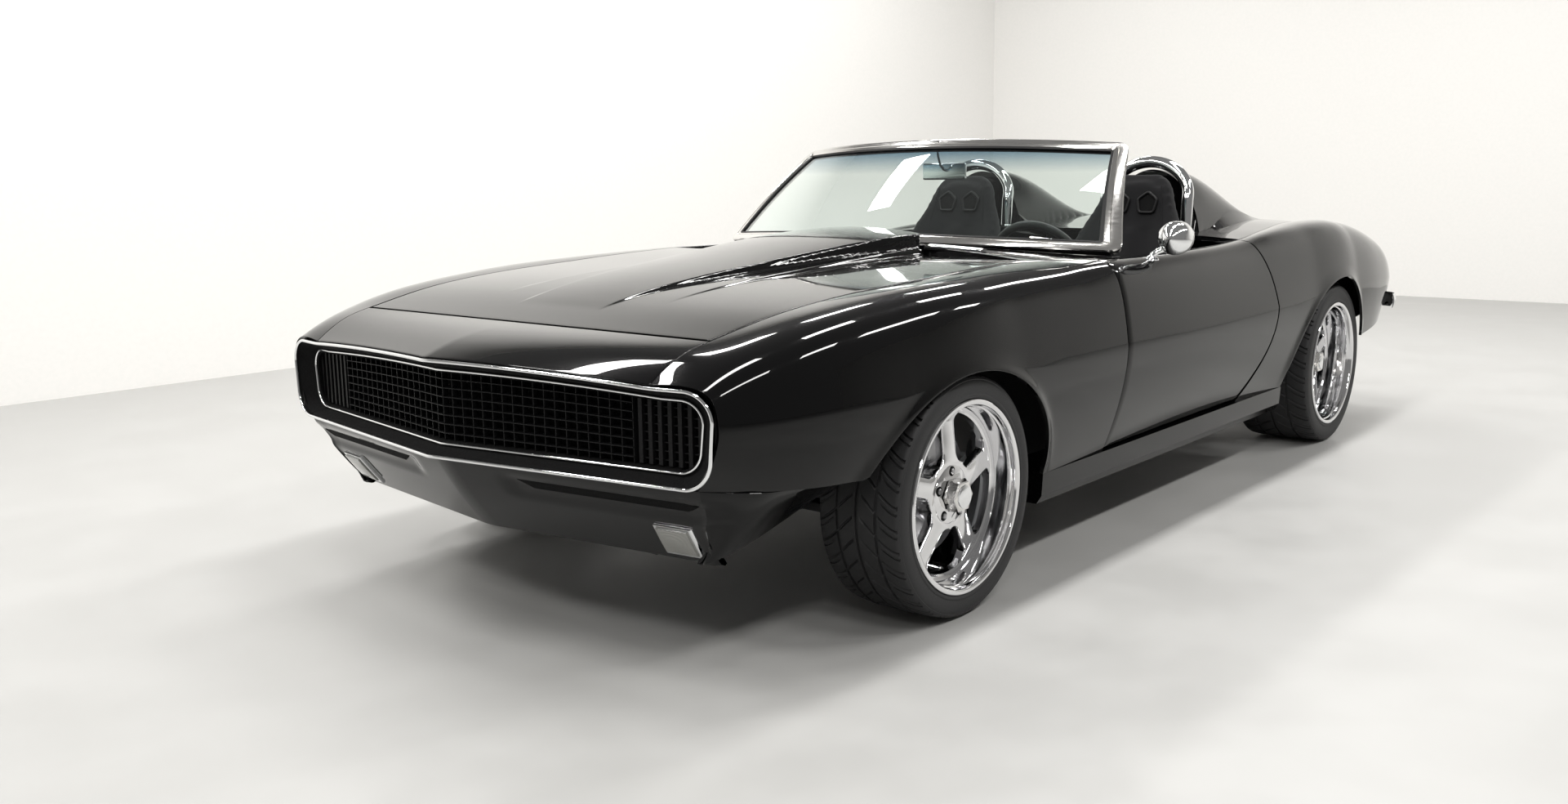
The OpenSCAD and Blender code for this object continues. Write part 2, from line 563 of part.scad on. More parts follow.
// Stops that the rear corners of the bonnet rest on
stop_x = 775;
stop_y = 520;
function bonnet_under(x) = bonnet_top_z(x, stop_y) + scoop(x, stop_y) - bonnet_t;
module firewall() {
    color("#1c1d20") {
        difference() {
            block(firewall_x, firewall_x + 14, -floor_half_w, floor_half_w, floor_z + sheet, cowl_low_z);
            block(firewall_x - 1, firewall_x + 15, -tunnel_half_w - fit, tunnel_half_w + fit,
                floor_z, tunnel_z + fit);
        }
        both_sides() block(500, firewall_x + 40, floor_half_w, 766, sill_z, cowl_low_z);
        both_sides() {
            block(firewall_x + 13, stop_x, stop_y - 20, stop_y, 760, 800);
            block(stop_x - 20, stop_x, stop_y - 20, stop_y, 790,
                min(bonnet_under(stop_x - 20), bonnet_under(stop_x)) - 0.5);
            // hinge leaves that carry the door
            for (z = [380, 640]) block(502, 522, 765, cabin_wall_y - 0.4, z, z + 50);
        }
    }
}
rail_y0 = 300;
rail_y1 = 366;
rail_low_z = 200;
rail_top_z = 262;
rail_front_x = 1960;
arm_end_y = 670;          // outer ends of the suspension arms
arm_low_z = 228;          // top of the lower arms
arm_top_z = 405;          // bottom of the upper arms
module front_subframe() {
    color("#3a3b3d") {
        both_sides() block(firewall_x + 24 + fit, rail_front_x, rail_y0, rail_y1, rail_low_z, rail_top_z);
        block(front_axle_x - 60, front_axle_x + 60, -rail_y0, rail_y0, rail_low_z, rail_top_z - 20);
        block(rail_front_x - 36, rail_front_x, -rail_y0, rail_y0, rail_low_z, rail_low_z + 40);
        block(rail_front_x - 24, rail_front_x, -560, 560, 345, 640);
        both_sides() block(rail_front_x - 24, rail_front_x, rail_y0, rail_y1, rail_low_z, 350);
        both_sides() {
            block(front_axle_x - 26, front_axle_x + 26, rail_y1, arm_end_y, 205, arm_low_z);
            block(front_axle_x - 22, front_axle_x + 22, rail_y1 - 40, rail_y1, rail_top_z, 560);
            block(front_axle_x - 22, front_axle_x + 22, rail_y1, arm_end_y, arm_top_z, 424);
        }
    }
}
module wheel_houses() {
    color("#1c1d20") {
        both_sides() difference() {
            translate([rear_axle_x, 0, rear_tyre_r]) rotate([-90, 0, 0])
                translate([0, 0, rear_floor_half_w + fit])
                cylinder(r = 350, h = 270, $fn = 96);
            translate([rear_axle_x, 0, rear_tyre_r]) rotate([-90, 0, 0])
                translate([0, 0, rear_floor_half_w + fit + sheet])
                cylinder(r = 342, h = 270, $fn = 96);
            block(rear_axle_x - 400, rear_axle_x + 400, 0, 1000, -100, rear_tyre_r + 90);
        }
    }
}

// ---- engine with its gearbox, as one plain block ----
module engine() {
    color("#6d7073") {
        block(760, 1440, -250, 250, rail_top_z - 20 + fit, 700);
        translate([180, 0, 318]) rotate([0, 90, 0]) cylinder(r = 92, h = 581, $fn = 48);
    }
}
module drive_shaft() {
    color("#3a3b3d") translate([rear_axle_x + 126 + fit, 0, 318]) rotate([0, 90, 0])
        cylinder(r = 38, h = 180 - rear_axle_x - 126 - 2 * fit, $fn = 32);
}
rear_hub_y = tyre_out_y - 96 - 84 - fit;
module rear_axle() {
    color("#3a3b3d") {
        translate([rear_axle_x, -rear_hub_y, rear_tyre_r]) rotate([-90, 0, 0])
            cylinder(r = 40, h = 2 * rear_hub_y, $fn = 32);
        translate([rear_axle_x, 0, rear_tyre_r]) rotate([0, 90, 0])
            translate([0, 0, -110]) cylinder(r = 105, h = 236, $fn = 48);
        both_sides() profile([[-2010, boot_floor_z - sheet - fit], [-2010, 362], [rear_axle_x, 258],
            [kick_x - sheet - fit, 222], [kick_x - sheet - fit, 252], [rear_axle_x, 288], [-1960, 372],
            [-1960, boot_floor_z - sheet - fit]], 480, 60);
    }
}
module exhaust() {
    color("#8a8c8e") both_sides() {
        block(-330, 130, 190, 330, 118, floor_z - fit);
        translate([130, 260, 160]) rotate([0, 90, 0]) cylinder(r = 30, h = 640, $fn = 32);
        translate([-2240, 260, 160]) rotate([0, 90, 0]) cylinder(r = 30, h = 1911, $fn = 32);
    }
}
module fuel_tank() {
    color("#3a3b3d") block(-2230, -1760, -420, 420, 205, boot_floor_z - sheet - fit);
}

// ---- cabin ----
module dashboard() {
    color("#141415") profile([[599.5, 560], [599.5, cowl_low_z - fit], [372, cowl_low_z - fit],
        [330, 815], [290, 780], [300, 700], [380, 640]], 0, 1370);
}
wheel_centre = [118, 370, 770];
column_lean = 24;
function column_at(s) = wheel_centre + s * [cos(column_lean), 0, -sin(column_lean)];
module steering_column() {
    color("#1a1a1a") translate(column_at(37 + fit)) rotate([0, 90 + column_lean, 0])
        cylinder(r = 26, h = 147.2, $fn = 32);
}
module steering_wheel() {
    color("#141415") translate(wheel_centre) rotate([0, 90 + column_lean, 0]) {
        rotate_extrude($fn = 64) translate([steer_r, 0]) circle(r = 13, $fn = 24);
        for (a = [90, 210, 330]) rotate([0, 0, a + 90]) translate([-14, 0, -3])
            cube([28, steer_r - 6, 6]);
        translate([0, 0, -12]) cylinder(r = 34, h = 49, $fn = 32);
    }
}
seat_y = 385;
module seat() {
    half = seat_w / 2;
    wing_w = 70;
    base_low = floor_z + sheet + fit;
    color("#17171a") translate([0, seat_y, 0]) {
        profile([[-480, base_low], [100, base_low], [110, 405], [80, 425], [-250, 380],
            [-300, 400], [-480, 400]], 0, seat_w - 2 * wing_w);
        profile([[-300, 360], [-372, 500], [-545, 930], [-575, 1070], [-610, 1090], [-640, 1075],
            [-530, 560], [-480, 360]], 0, seat_w - 2 * wing_w - 60);
        for (side = [-1, 1]) {
            profile([[-480, base_low], [90, base_low], [100, 420], [60, 452], [-260, 452],
                [-300, 500], [-500, 500]], side * (half - wing_w / 2), wing_w);
            profile([[-290, 400], [-300, 520], [-440, 840], [-500, 900], [-585, 980],
                [-600, 960], [-530, 560], [-480, 400]], side * (half - wing_w / 2 - 24), wing_w - 12);
        }
    }
}
module seat_left() { seat(); }
module seat_right() { mirror([0, 1, 0]) seat(); }
module console() {
    color("#17171a") profile([[-480, tunnel_z + fit], [400, tunnel_z + fit], [400, 520], [330, 540],
        [150, 490], [-480, 520]], 0, 200);
}

// ---- cover over the rear of the cabin, with a head fairing behind each seat ----
tonneau_front_x = -600;
tonneau_rear_x = -1632;
fairing_y = 385;
fairing_x = -722;
function fairing(x, y) = let (
    s = clamp((fairing_x - x) / 800),
    u = (abs(y) - fairing_y) / mix(188, 150, s),
    fall = 1 - 0.13 * s - 0.87 * pow(ease((s - 0.12) / 0.88), 1.15)
) x > fairing_x ? 0 : fairing_h * fall * (abs(u) >= 1 ? 0 : pow(1 - u * u, 0.62));
function deck_z(x, y) = top_z(x, y)
    + curve(x, [[-1632, 0], [-900, 8], [-600, 18]]) * (1 - pow(y / curve(x, gap_y_line), 2));
tonneau_us = let (h = [for (a = [0, 0.12, 0.22, 0.27, 0.3, 0.34, 0.4, 0.46, 0.51, 0.56, 0.62, 0.68,
    0.72, 0.75, 0.78, 0.84, 0.92, 1]) a]) concat([for (i = [len(h) - 1:-1:1]) -h[i]], h);
tonneau_xs = [-600, -660, -716, -722, -760, -820, -890, -970, -1050, -1130, -1210, -1290, -1370, -1450,
    -1530, -1632];
module tonneau() {
    function at(x, u, d, back = 0) = let (y = u * (curve(x - back, gap_y_line) - 0.7))
        [x - back, y, deck_z(x, y) + fairing(x - 1, y) - d];
    color("#16171a") skin(
        [for (x = tonneau_xs) [for (u = tonneau_us) at(x, -u, 0)]],
        [for (x = tonneau_xs) [for (u = tonneau_us) at(x, -u, 18, x < -700 && x > -1600 ? 14 : 0)]]);
}
hoop_half_w = 166;
function hoop_foot(y) = [for (h = [1.5, 24]) [-650, y, deck_z(-650, y) + h]];
module roll_hoops() {
    color("silver") for (side = [-1, 1]) {
        path = concat(
            hoop_foot(side * fairing_y - hoop_half_w),
            [for (a = [180:-18:0]) [-650 - 46 * (0.35 + 0.65 * sin(a)), side * fairing_y + hoop_half_w * cos(a),
                990 + 142 * sin(a)]],
            [for (i = [1, 0]) hoop_foot(side * fairing_y + hoop_half_w)[i]]);
        bar(path, hoop_tube_r, n = 12, up = [1, 0, 0]);
    }
}

// ---- rear of the body ----
tail_t = 18;
plate_hole_gap = 177.8;   // standard distance between a number plate's two screws
plate_hole_r = 3.2;
plate_z = 400;
module tail_panel() {
    x = quarter_end_x;
    half = [for (t = [2, 1.6, 1.3, 1, 0.85, 0.7, 0.55, 0.4, 0.2, 0]) side_point(x + 0.01, t)];
    n = len(half);
    top = [for (u = [0.8, 0.5, 0.2, -0.2, -0.5, -0.8]) let (y = u * half[n - 1][0]) [y, top_z(x, y)]];
    outline = concat(half, top, [for (i = [n - 1:-1:0]) [-half[i][0], half[i][1]]],
        [[-560, 330], [560, 330]]);
    color("#16171a") difference() {
        profile2(outline, x - fit - tail_t, x - fit);
        for (y = [-plate_hole_gap / 2, plate_hole_gap / 2]) translate([x - 30, y, plate_z])
            rotate([0, 90, 0]) cylinder(r = plate_hole_r, h = 60, $fn = 32);
    }
}
tail_lamp_z = [566, 662];
module tail_lamps() {
    color("#7a1014") both_sides() block(quarter_end_x - fit - tail_t - 14, quarter_end_x - tail_t - 2 * fit,
        380, 690, tail_lamp_z[0], tail_lamp_z[1]);
}
bumper_z = 500;
module rear_bumper() {
    color("silver") {
        linear_extrude_between(bumper_z - 32, bumper_z + 32)
            polygon([[-2200, 880], [-2290, 868], [-2326, 800], [-2340, 600], [-2340, -600], [-2326, -800],
                [-2290, -868], [-2200, -880], [-2200, -874], [-2284, -862], [-2316, -796],
                [-2328, -600], [-2328, 600], [-2316, 796], [-2284, 862], [-2200, 874]]);
        both_sides() block(-2329, quarter_end_x - tail_t - 2 * fit, 420, 460, bumper_z - 20, bumper_z + 20);
    }
}

// ---- boot lid ----
boot_lid_t = 22;
boot_front_edge_x = tonneau_rear_x - panel_gap - 2;
boot_rear_edge_x = quarter_end_x + panel_gap;
boot_hinge = [boot_front_edge_x - 2, 0, 893];
module boot_lid() {
    us = steps(-1, 1, 12);
    vs = steps(0, 1, 10);
    function at(u, v) = let (x = mix(boot_front_edge_x, boot_rear_edge_x, v),
        y = u * (curve(x, gap_y_line) - 6)) [x, y, top_z(x, y)];
    color("#16171a") skin(
        [for (v = vs) [for (u = us) at(-u, v)]],
        [for (v = vs) [for (u = us) let (p = at(-u, v)) [max(p[0], boot_rear_edge_x + 14), p[1], p[2] - boot_lid_t]]]);
}

// ---- wheels and steering ----
module front_wheel() {
    wheel_body(front_tyre_w, 62, front_tyre_r);
}
module rear_wheel() {
    wheel_body(rear_tyre_w, 96, rear_tyre_r);
}
hub_bore_r = 32;
// Dish is the depth of the spokes behind the outer lip
module wheel_body(w, dish, tyre_r) {
    in_r = rim_r - 30;
    color("silver") rotate([90, 0, 0]) {
        // barrel: from the outer lip (z = 0) inward
        rotate_extrude($fn = 96) polygon([[rim_r, 0], [rim_r, 7], [rim_r - 15, 9], [rim_r - 17, w - 12],
            [rim_r - 4, w - 8], [rim_r - 4, w - 3], [rim_r - 24, w - 3], [rim_r - 26, 20], [rim_r - 13, 2]]);
        difference() {
            union() {
                translate([0, 0, dish - 12]) cylinder(r = 70, h = 58, $fn = 64);
                for (k = [0:4]) rotate([0, 0, 72 * k + 90]) translate([0, 0, dish])
                    linear_extrude(26) polygon([[40, -34], [150, -24], [rim_r - 24, -36], [rim_r - 24, 36],
                        [150, 24], [40, 34]]);
            }
            translate([0, 0, dish + 10]) cylinder(r = hub_bore_r, h = 60, $fn = 48);
        }
        // brake disc with its bell
        translate([0, 0, dish + 58]) cylinder(r = disc_r, h = 26, $fn = 64);
        translate([0, 0, dish + 40]) cylinder(r = 78, h = 20, $fn = 64);
    }
}
module tyre(w, r) {
    s = 22;
    color("#1b1b1c") rotate([90, 0, 0]) rotate_extrude($fn = 96) polygon([[rim_r - 14.7, 9.4],
        [rim_r + fit, 7.3], [rim_r + fit, 3], [rim_r + 10, 1], [r - 30, 0], [r - 8, 8], [r, s],
        [r, w - s], [r - 8, w - 8], [r - 30, w], [rim_r + 10, w - 4], [rim_r - 3.7, w - 7.6], [rim_r - 3.7, w - 8.4], [rim_r - 16.6, w - 12.4]]);
}
front_hub = [front_axle_x, tyre_out_y, front_tyre_r];
rear_hub = [rear_axle_x, tyre_out_y, rear_tyre_r];
module wheel_front_left() { translate(front_hub) front_wheel(); }
module wheel_front_right() { mirror([0, 1, 0]) translate(front_hub) front_wheel(); }
module wheel_rear_left() { translate(rear_hub) rear_wheel(); }
module wheel_rear_right() { mirror([0, 1, 0]) translate(rear_hub) rear_wheel(); }
module tyre_front_left() { translate(front_hub) tyre(front_tyre_w, front_tyre_r); }
module tyre_front_right() { mirror([0, 1, 0]) translate(front_hub) tyre(front_tyre_w, front_tyre_r); }
module tyre_rear_left() { translate(rear_hub) tyre(rear_tyre_w, rear_tyre_r); }
module tyre_rear_right() { mirror([0, 1, 0]) translate(rear_hub) tyre(rear_tyre_w, rear_tyre_r); }

kingpin_y = 730;
module knuckle() {
    inner_face = tyre_out_y - 62 - 84;
    color("#55575a") {
        translate([front_axle_x, kingpin_y - 55, front_tyre_r]) rotate([-90, 0, 0])
            cylinder(r = 40, h = inner_face - kingpin_y + 55 - fit, $fn = 48);
        block(front_axle_x - 24, front_axle_x + 24, 645, kingpin_y - 20,
            arm_low_z + fit, arm_top_z - fit);
        block(front_axle_x - 135, front_axle_x - 20, 690, kingpin_y + 12, 272, 302);
    }
}
module knuckle_left() { knuckle(); }
module knuckle_right() { mirror([0, 1, 0]) knuckle(); }

floor_pan();
rear_floor();
sills();
firewall();
cowl();
front_subframe();
wheel_houses();
wing_left();
wing_right();
nose_panel();
grille();
grille_trim();
front_valance();
park_lamps();
engine();
windshield_frame();
windshield_glass();
interior_mirror();
dashboard();
steering_column();
seat_left();
seat_right();
console();
tonneau();
roll_hoops();
quarter_left();
quarter_right();
tail_panel();
tail_lamps();
rear_bumper();
rear_axle();
exhaust();
fuel_tank();
drive_shaft();
bonnet();
boot_lid();
door_left();
door_mirror();
door_right();
steering_wheel();
knuckle_left();
knuckle_right();
wheel_front_left();
tyre_front_left();
wheel_front_right();
tyre_front_right();
wheel_rear_left();
tyre_rear_left();
wheel_rear_right();
tyre_rear_right();
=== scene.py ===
import bpy
import bmesh
import math
import numpy as np
from mathutils import Matrix, Vector


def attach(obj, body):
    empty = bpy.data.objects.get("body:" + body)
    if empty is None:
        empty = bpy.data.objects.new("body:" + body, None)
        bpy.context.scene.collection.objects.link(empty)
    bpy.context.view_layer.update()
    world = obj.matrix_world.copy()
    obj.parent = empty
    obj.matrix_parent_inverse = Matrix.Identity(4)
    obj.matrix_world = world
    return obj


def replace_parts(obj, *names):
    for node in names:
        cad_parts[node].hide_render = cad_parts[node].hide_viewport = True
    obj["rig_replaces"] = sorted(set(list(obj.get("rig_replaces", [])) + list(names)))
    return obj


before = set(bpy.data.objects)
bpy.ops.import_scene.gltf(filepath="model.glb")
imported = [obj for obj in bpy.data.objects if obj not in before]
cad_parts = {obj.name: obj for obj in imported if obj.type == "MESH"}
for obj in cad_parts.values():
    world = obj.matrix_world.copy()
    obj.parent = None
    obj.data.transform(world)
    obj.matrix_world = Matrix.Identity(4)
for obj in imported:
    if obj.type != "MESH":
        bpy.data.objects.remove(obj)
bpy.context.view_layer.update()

# ---- The camera ----
# A three-quarter view from the front left, from a little over bonnet height, with a
# slightly wide lens.
yaw, pitch, roll = math.radians(220.1738), math.radians(-9.9678), math.radians(-0.7405)
sight = Vector((math.cos(yaw) * math.cos(pitch), math.sin(yaw) * math.cos(pitch), math.sin(pitch)))
level = Vector((math.sin(yaw), -math.cos(yaw), 0))
over = level.cross(sight)
camera = bpy.data.objects.new("camera", bpy.data.cameras.new("camera"))
bpy.context.scene.collection.objects.link(camera)
right = math.cos(roll) * level + math.sin(roll) * over
upward = -math.sin(roll) * level + math.cos(roll) * over
camera.matrix_world = Matrix.Translation((4.1327, 2.6108, 1.1204)) @ Matrix(
    (right, upward, -sight)).transposed().to_4x4()
camera.data.lens = 30.336
camera.data.sensor_width = 36
camera.data.clip_start, camera.data.clip_end = 0.05, 200
bpy.context.scene.camera = camera

# ---- The room ----
# A pale floor of smooth sealed concrete, two plain white walls behind the car and rows of
# flat ceiling lights, which draw the long bright bars in the paint.
def finish_of(name, colour, rough, metal=0.0, **sockets):
    made = bpy.data.materials.new(name)
    made.use_nodes = True
    shader = made.node_tree.nodes["Principled BSDF"]
    shader.inputs["Base Color"].default_value = (*colour, 1)
    shader.inputs["Roughness"].default_value = rough
    shader.inputs["Metallic"].default_value = metal
    for socket, value in sockets.items():
        shader.inputs[socket.replace("_", " ")].default_value = value
    return made


def grain(made, scale, depth, stretch=(1, 1, 1), detail=3.0, kind="NOISE", rough=None, tint=None):
    """Gives a finish its small relief, and the worn or uneven spots in its gloss and colour."""
    tree = made.node_tree
    shader = tree.nodes["Principled BSDF"]
    place = tree.nodes.new("ShaderNodeTexCoord")
    spread = tree.nodes.new("ShaderNodeMapping")
    spread.inputs["Scale"].default_value = stretch
    tree.links.new(place.outputs["Object"], spread.inputs["Vector"])
    pattern = tree.nodes.new({"NOISE": "ShaderNodeTexNoise", "VORONOI": "ShaderNodeTexVoronoi",
                              "WAVE": "ShaderNodeTexWave"}[kind])
    pattern.inputs["Scale"].default_value = scale
    if kind != "VORONOI":
        pattern.inputs["Detail"].default_value = detail
    tree.links.new(spread.outputs["Vector"], pattern.inputs["Vector"])
    height = pattern.outputs["Distance" if kind == "VORONOI" else "Fac"]
    if depth:
        bump = tree.nodes.new("ShaderNodeBump")
        bump.inputs["Distance"].default_value = depth
        bump.inputs["Strength"].default_value = 0.6
        tree.links.new(height, bump.inputs["Height"])
        tree.links.new(bump.outputs["Normal"], shader.inputs["Normal"])
    for socket, low, high in [("Roughness", *rough)] if rough else []:
        ramp = tree.nodes.new("ShaderNodeMapRange")
        ramp.inputs["From Min"].default_value, ramp.inputs["From Max"].default_value = 0.3, 0.7
        ramp.inputs["To Min"].default_value, ramp.inputs["To Max"].default_value = low, high
        tree.links.new(height, ramp.inputs["Value"])
        tree.links.new(ramp.outputs["Result"], shader.inputs[socket])
    if tint:
        ramp = tree.nodes.new("ShaderNodeValToRGB")
        ramp.color_ramp.elements[0].position, ramp.color_ramp.elements[1].position = 0.35, 0.65
        for spot, colour in zip(ramp.color_ramp.elements, tint):
            spot.color = (*colour, 1)
        tree.links.new(height, ramp.inputs["Fac"])
        tree.links.new(ramp.outputs["Color"], shader.inputs["Base Color"])
    return made


def plain_sheet(name, corners, made):
    mesh = bpy.data.meshes.new(name)
    mesh.from_pydata(corners, [], [range(len(corners))])
    mesh.materials.append(made)
    obj = bpy.data.objects.new(name, mesh)
    bpy.context.scene.collection.objects.link(obj)
    return obj


concrete = grain(finish_of("sealed_concrete", (0.44, 0.44, 0.43), 0.42), 3.0, 0.0004,
                 rough=(0.36, 0.5), tint=((0.43, 0.43, 0.42), (0.46, 0.46, 0.45)))
plaster = grain(finish_of("white_plaster", (0.86, 0.85, 0.83), 0.9), 40, 0.0006,
                tint=((0.85, 0.845, 0.825), (0.87, 0.86, 0.84)))
# the walls show only from inside the room, so they never stand between the car and a camera
wall_side = plaster.node_tree.nodes.new("ShaderNodeNewGeometry")
inside = plaster.node_tree.nodes.new("ShaderNodeMath")
inside.operation = "SUBTRACT"
inside.inputs[0].default_value = 1.0
plaster.node_tree.links.new(wall_side.outputs["Backfacing"], inside.inputs[1])
plaster.node_tree.links.new(inside.outputs["Value"],
                            plaster.node_tree.nodes["Principled BSDF"].inputs["Alpha"])
side_wall_y, back_wall_x, wall_top = -4.62, -7.8, 4.6
plain_sheet("floor",
            [(back_wall_x, side_wall_y, 0), (16, side_wall_y, 0), (16, 14, 0), (back_wall_x, 14, 0)],
            concrete)
plain_sheet("side_wall", [(back_wall_x, side_wall_y, 0), (back_wall_x, side_wall_y, wall_top),
                          (16, side_wall_y, wall_top), (16, side_wall_y, 0)], plaster)
plain_sheet("back_wall", [(back_wall_x, 14, 0), (back_wall_x, 14, wall_top),
                          (back_wall_x, side_wall_y, wall_top), (back_wall_x, side_wall_y, 0)], plaster)

bpy.context.scene.view_settings.view_transform = "Standard"
bpy.context.scene.view_settings.look = "None"
sky = bpy.data.worlds.new("pale_room")
bpy.context.scene.world = sky
sky.use_nodes = True
sky.node_tree.nodes["Background"].inputs["Color"].default_value = (1.0, 0.985, 0.96, 1)
sky.node_tree.nodes["Background"].inputs["Strength"].default_value = 0.2


def ceiling_light(x, y, long, wide, power, z=4.4, turn=0.0):
    lamp = bpy.data.lights.new("ceiling_light", "AREA")
    lamp.shape = "RECTANGLE"
    lamp.size, lamp.size_y, lamp.energy = long, wide, power
    lamp.color = (1.0, 0.985, 0.965)
    obj = bpy.data.objects.new("ceiling_light", lamp)
    obj.location = (x, y, z)
    obj.rotation_euler = (0, 0, turn)
    bpy.context.scene.collection.objects.link(obj)
    return obj


for row_y in (-2.6, 0.6, 3.8):
    for row_x in (-5.2, -3.0, -0.8, 1.4, 3.6, 5.8):
        ceiling_light(row_x, row_y, 1.3, 0.38, 58)

# ---- The lines of the body ----
# The steel body is drawn with a few smooth lines that run from tail to nose: the top line
# that the lids and doors meet, the shoulder, the widest line and the lower edge.
MM = 0.001


def drawn(pairs, soft=36):
    """Smooth line through [place along the car, value] pairs, fair enough for gloss paint."""
    place, value = np.array(pairs, float).T
    chords = np.diff(value) / np.diff(place)
    slopes = np.concatenate([chords[:1], (chords[:-1] + chords[1:]) / 2, chords[-1:]])
    x = np.arange(place[0], place[-1] + 5, 5.0)
    i = np.clip(np.searchsorted(place, x, side="right") - 1, 0, len(place) - 2)
    h = place[i + 1] - place[i]
    s = np.clip((x - place[i]) / h, 0, 1)
    v = (value[i] * (1 + 2 * s) * (1 - s) ** 2 + slopes[i] * h * s * (1 - s) ** 2
         + value[i + 1] * s * s * (3 - 2 * s) - slopes[i + 1] * h * s * s * (1 - s))
    reach = int(soft / 5 * 3)
    if reach and len(v) > reach + 1:
        weights = np.exp(-0.5 * (np.arange(-reach, reach + 1) * 5 / soft) ** 2)
        before = 2 * v[0] - v[reach:0:-1]
        after = 2 * v[-1] - v[-2:-reach - 2:-1]
        v = np.convolve(np.concatenate([before, v, after]), weights / weights.sum(), "valid")
    return lambda at: np.interp(at, x, v)


def blend(a, b, s):
    return a + (b - a) * s


def ease(s):
    c = np.clip(s, 0, 1)
    return c * c * (3 - 2 * c)


top_y = drawn([[-2330, 600], [-2200, 622], [-1700, 640], [-1300, 690], [-900, 745], [-560, 778],
               [420, 782], [565, 781], [680, 745], [800, 705], [1230, 690], [1810, 672], [2053, 655],
               [2233, 640]], 22)
top_line_z = drawn([[-2330, 742], [-2200, 772], [-2000, 820], [-1700, 868], [-1300, 884], [-900, 870],
                    [-560, 850], [0, 842], [500, 847], [800, 855], [1230, 841], [1810, 802], [2053, 757],
                    [2130, 739], [2190, 711], [2233, 680]], 22)
crown = drawn([[-2330, 8], [-2200, 14], [-1700, 20], [-1200, 16], [-600, 12], [300, 20], [600, 34],
               [800, 25], [1230, 14], [1810, 6], [2053, 0], [2233, 0]])
shoulder_y = drawn([[-2330, 790], [-2200, 842], [-1900, 872], [-1500, 886], [-1100, 880], [-700, 868],
                    [-300, 872], [500, 888], [1390, 886], [1700, 880], [1900, 868], [2050, 846],
                    [2150, 824], [2233, 800]])
shoulder_z = drawn([[-2330, 655], [-2250, 705], [-2130, 775], [-1874, 856], [-1517, 912],
                    [-1171, 912], [-742, 888], [-533, 860], [0, 850], [572, 853], [1144, 859],
                    [1487, 847], [1788, 816], [1938, 790], [2087, 744], [2160, 714], [2233, 680]])
widest_in = drawn([[-2330, 112], [-2200, 62], [-1900, 18], [-1500, 0], [-1100, 0], [-700, 2],
                   [-300, 5], [300, 5], [900, 3], [1390, 2], [1700, 12], [1900, 28], [2050, 56],
                   [2150, 86], [2233, 118]])
widest_z = drawn([[-2330, 600], [-1900, 625], [-1000, 615], [0, 600], [1390, 600], [2000, 600],
                  [2233, 590]])
low_y = drawn([[-2330, 770], [-2000, 872], [-1700, 900], [-1356, 905], [-900, 850], [900, 850],
               [1390, 870], [1900, 850], [2050, 815], [2150, 780], [2233, 748]])
low_front_z = drawn([[1390, 420], [1800, 425], [2050, 442], [2233, 468]])
low_rear_z = drawn([[-2330, 470], [-2000, 430], [-1700, 405], [-1356, 400]])
front_axle_x, rear_axle_x, sill_z, half_width = 1390, -1356, 280, 918
front_arch, rear_arch = (628, 245, 440, 440), (672, 300, 470, 312)


def arch_height(x, centre, arch):
    d = (x - centre) / np.where(x > centre, arch[2], arch[3])
    return np.where(np.abs(d) < 1, arch[1] + (arch[0] - arch[1]) * np.sqrt(np.clip(1 - d * d, 0, 1)), 0)


def lower_edge(x):
    return np.where(x > front_axle_x, low_front_z(x), np.where(x < rear_axle_x, low_rear_z(x), sill_z))


def body_bottom(x):
    return np.maximum(lower_edge(x), np.maximum(arch_height(x, front_axle_x, front_arch),
                                                arch_height(x, rear_axle_x, rear_arch)))


def arch_lip(x, z, centre, arch, height=7.0, width=20.0):
    """How far the rolled lip round a wheel opening stands out of the side."""
    reach = np.hypot((x - centre) / np.where(x > centre, arch[2], arch[3]),
                     np.maximum(z - arch[1], 0) / (arch[0] - arch[1]))
    gap = (reach - 1) * 400
    return height * np.exp(-(np.maximum(gap, 0) / width) ** 2) * ease((z - arch[1] + 60) / 160)


def side(x, t):
    """Point of the body side: t goes over the shoulder (0 to 1) and down to the lower edge (1 to 2)."""
    x, t = np.broadcast_arrays(np.asarray(x, float), np.asarray(t, float))
    gy, gz, ky, kz = top_y(x), top_line_z(x), shoulder_y(x), shoulder_z(x)
    low = body_bottom(x)
    wy = half_width - widest_in(x)
    usual, lifted = widest_z(x), low + 15
    wz = 0.5 * (usual + lifted + np.sqrt((usual - lifted) ** 2 + 900))
    s = np.clip(t, 0, 1)
    b0, b1, b2, b3 = (1 - s) ** 3, 3 * s * (1 - s) ** 2, 3 * s * s * (1 - s), s ** 3
    y = b0 * gy + b1 * (gy + (ky - gy) * 0.85) + b2 * (wy + (ky - wy) * 0.85) + b3 * wy
    z = b0 * gz + b1 * (gz + (kz - gz) * 0.85) + b2 * (wz + (kz - wz) * 0.85) + b3 * wz
    down = np.clip(t - 1, 0, 1)
    z = np.where(t > 1, blend(wz, low, down), z)
    tuck = np.clip((wz - z) / (wz - lower_edge(x)), 0, 1) ** 1.7
    y = np.where(t > 1, wy - (wy - low_y(x)) * tuck, y)
    y = y + arch_lip(x, z, front_axle_x, front_arch) + arch_lip(x, z, rear_axle_x, rear_arch)
    return np.stack([x, y, z], -1)


def top_surface(x, y):
    """Height of the lids and the cowl between the two top lines."""
    return top_line_z(x) + crown(x) * (1 - (y / top_y(x)) ** 2)


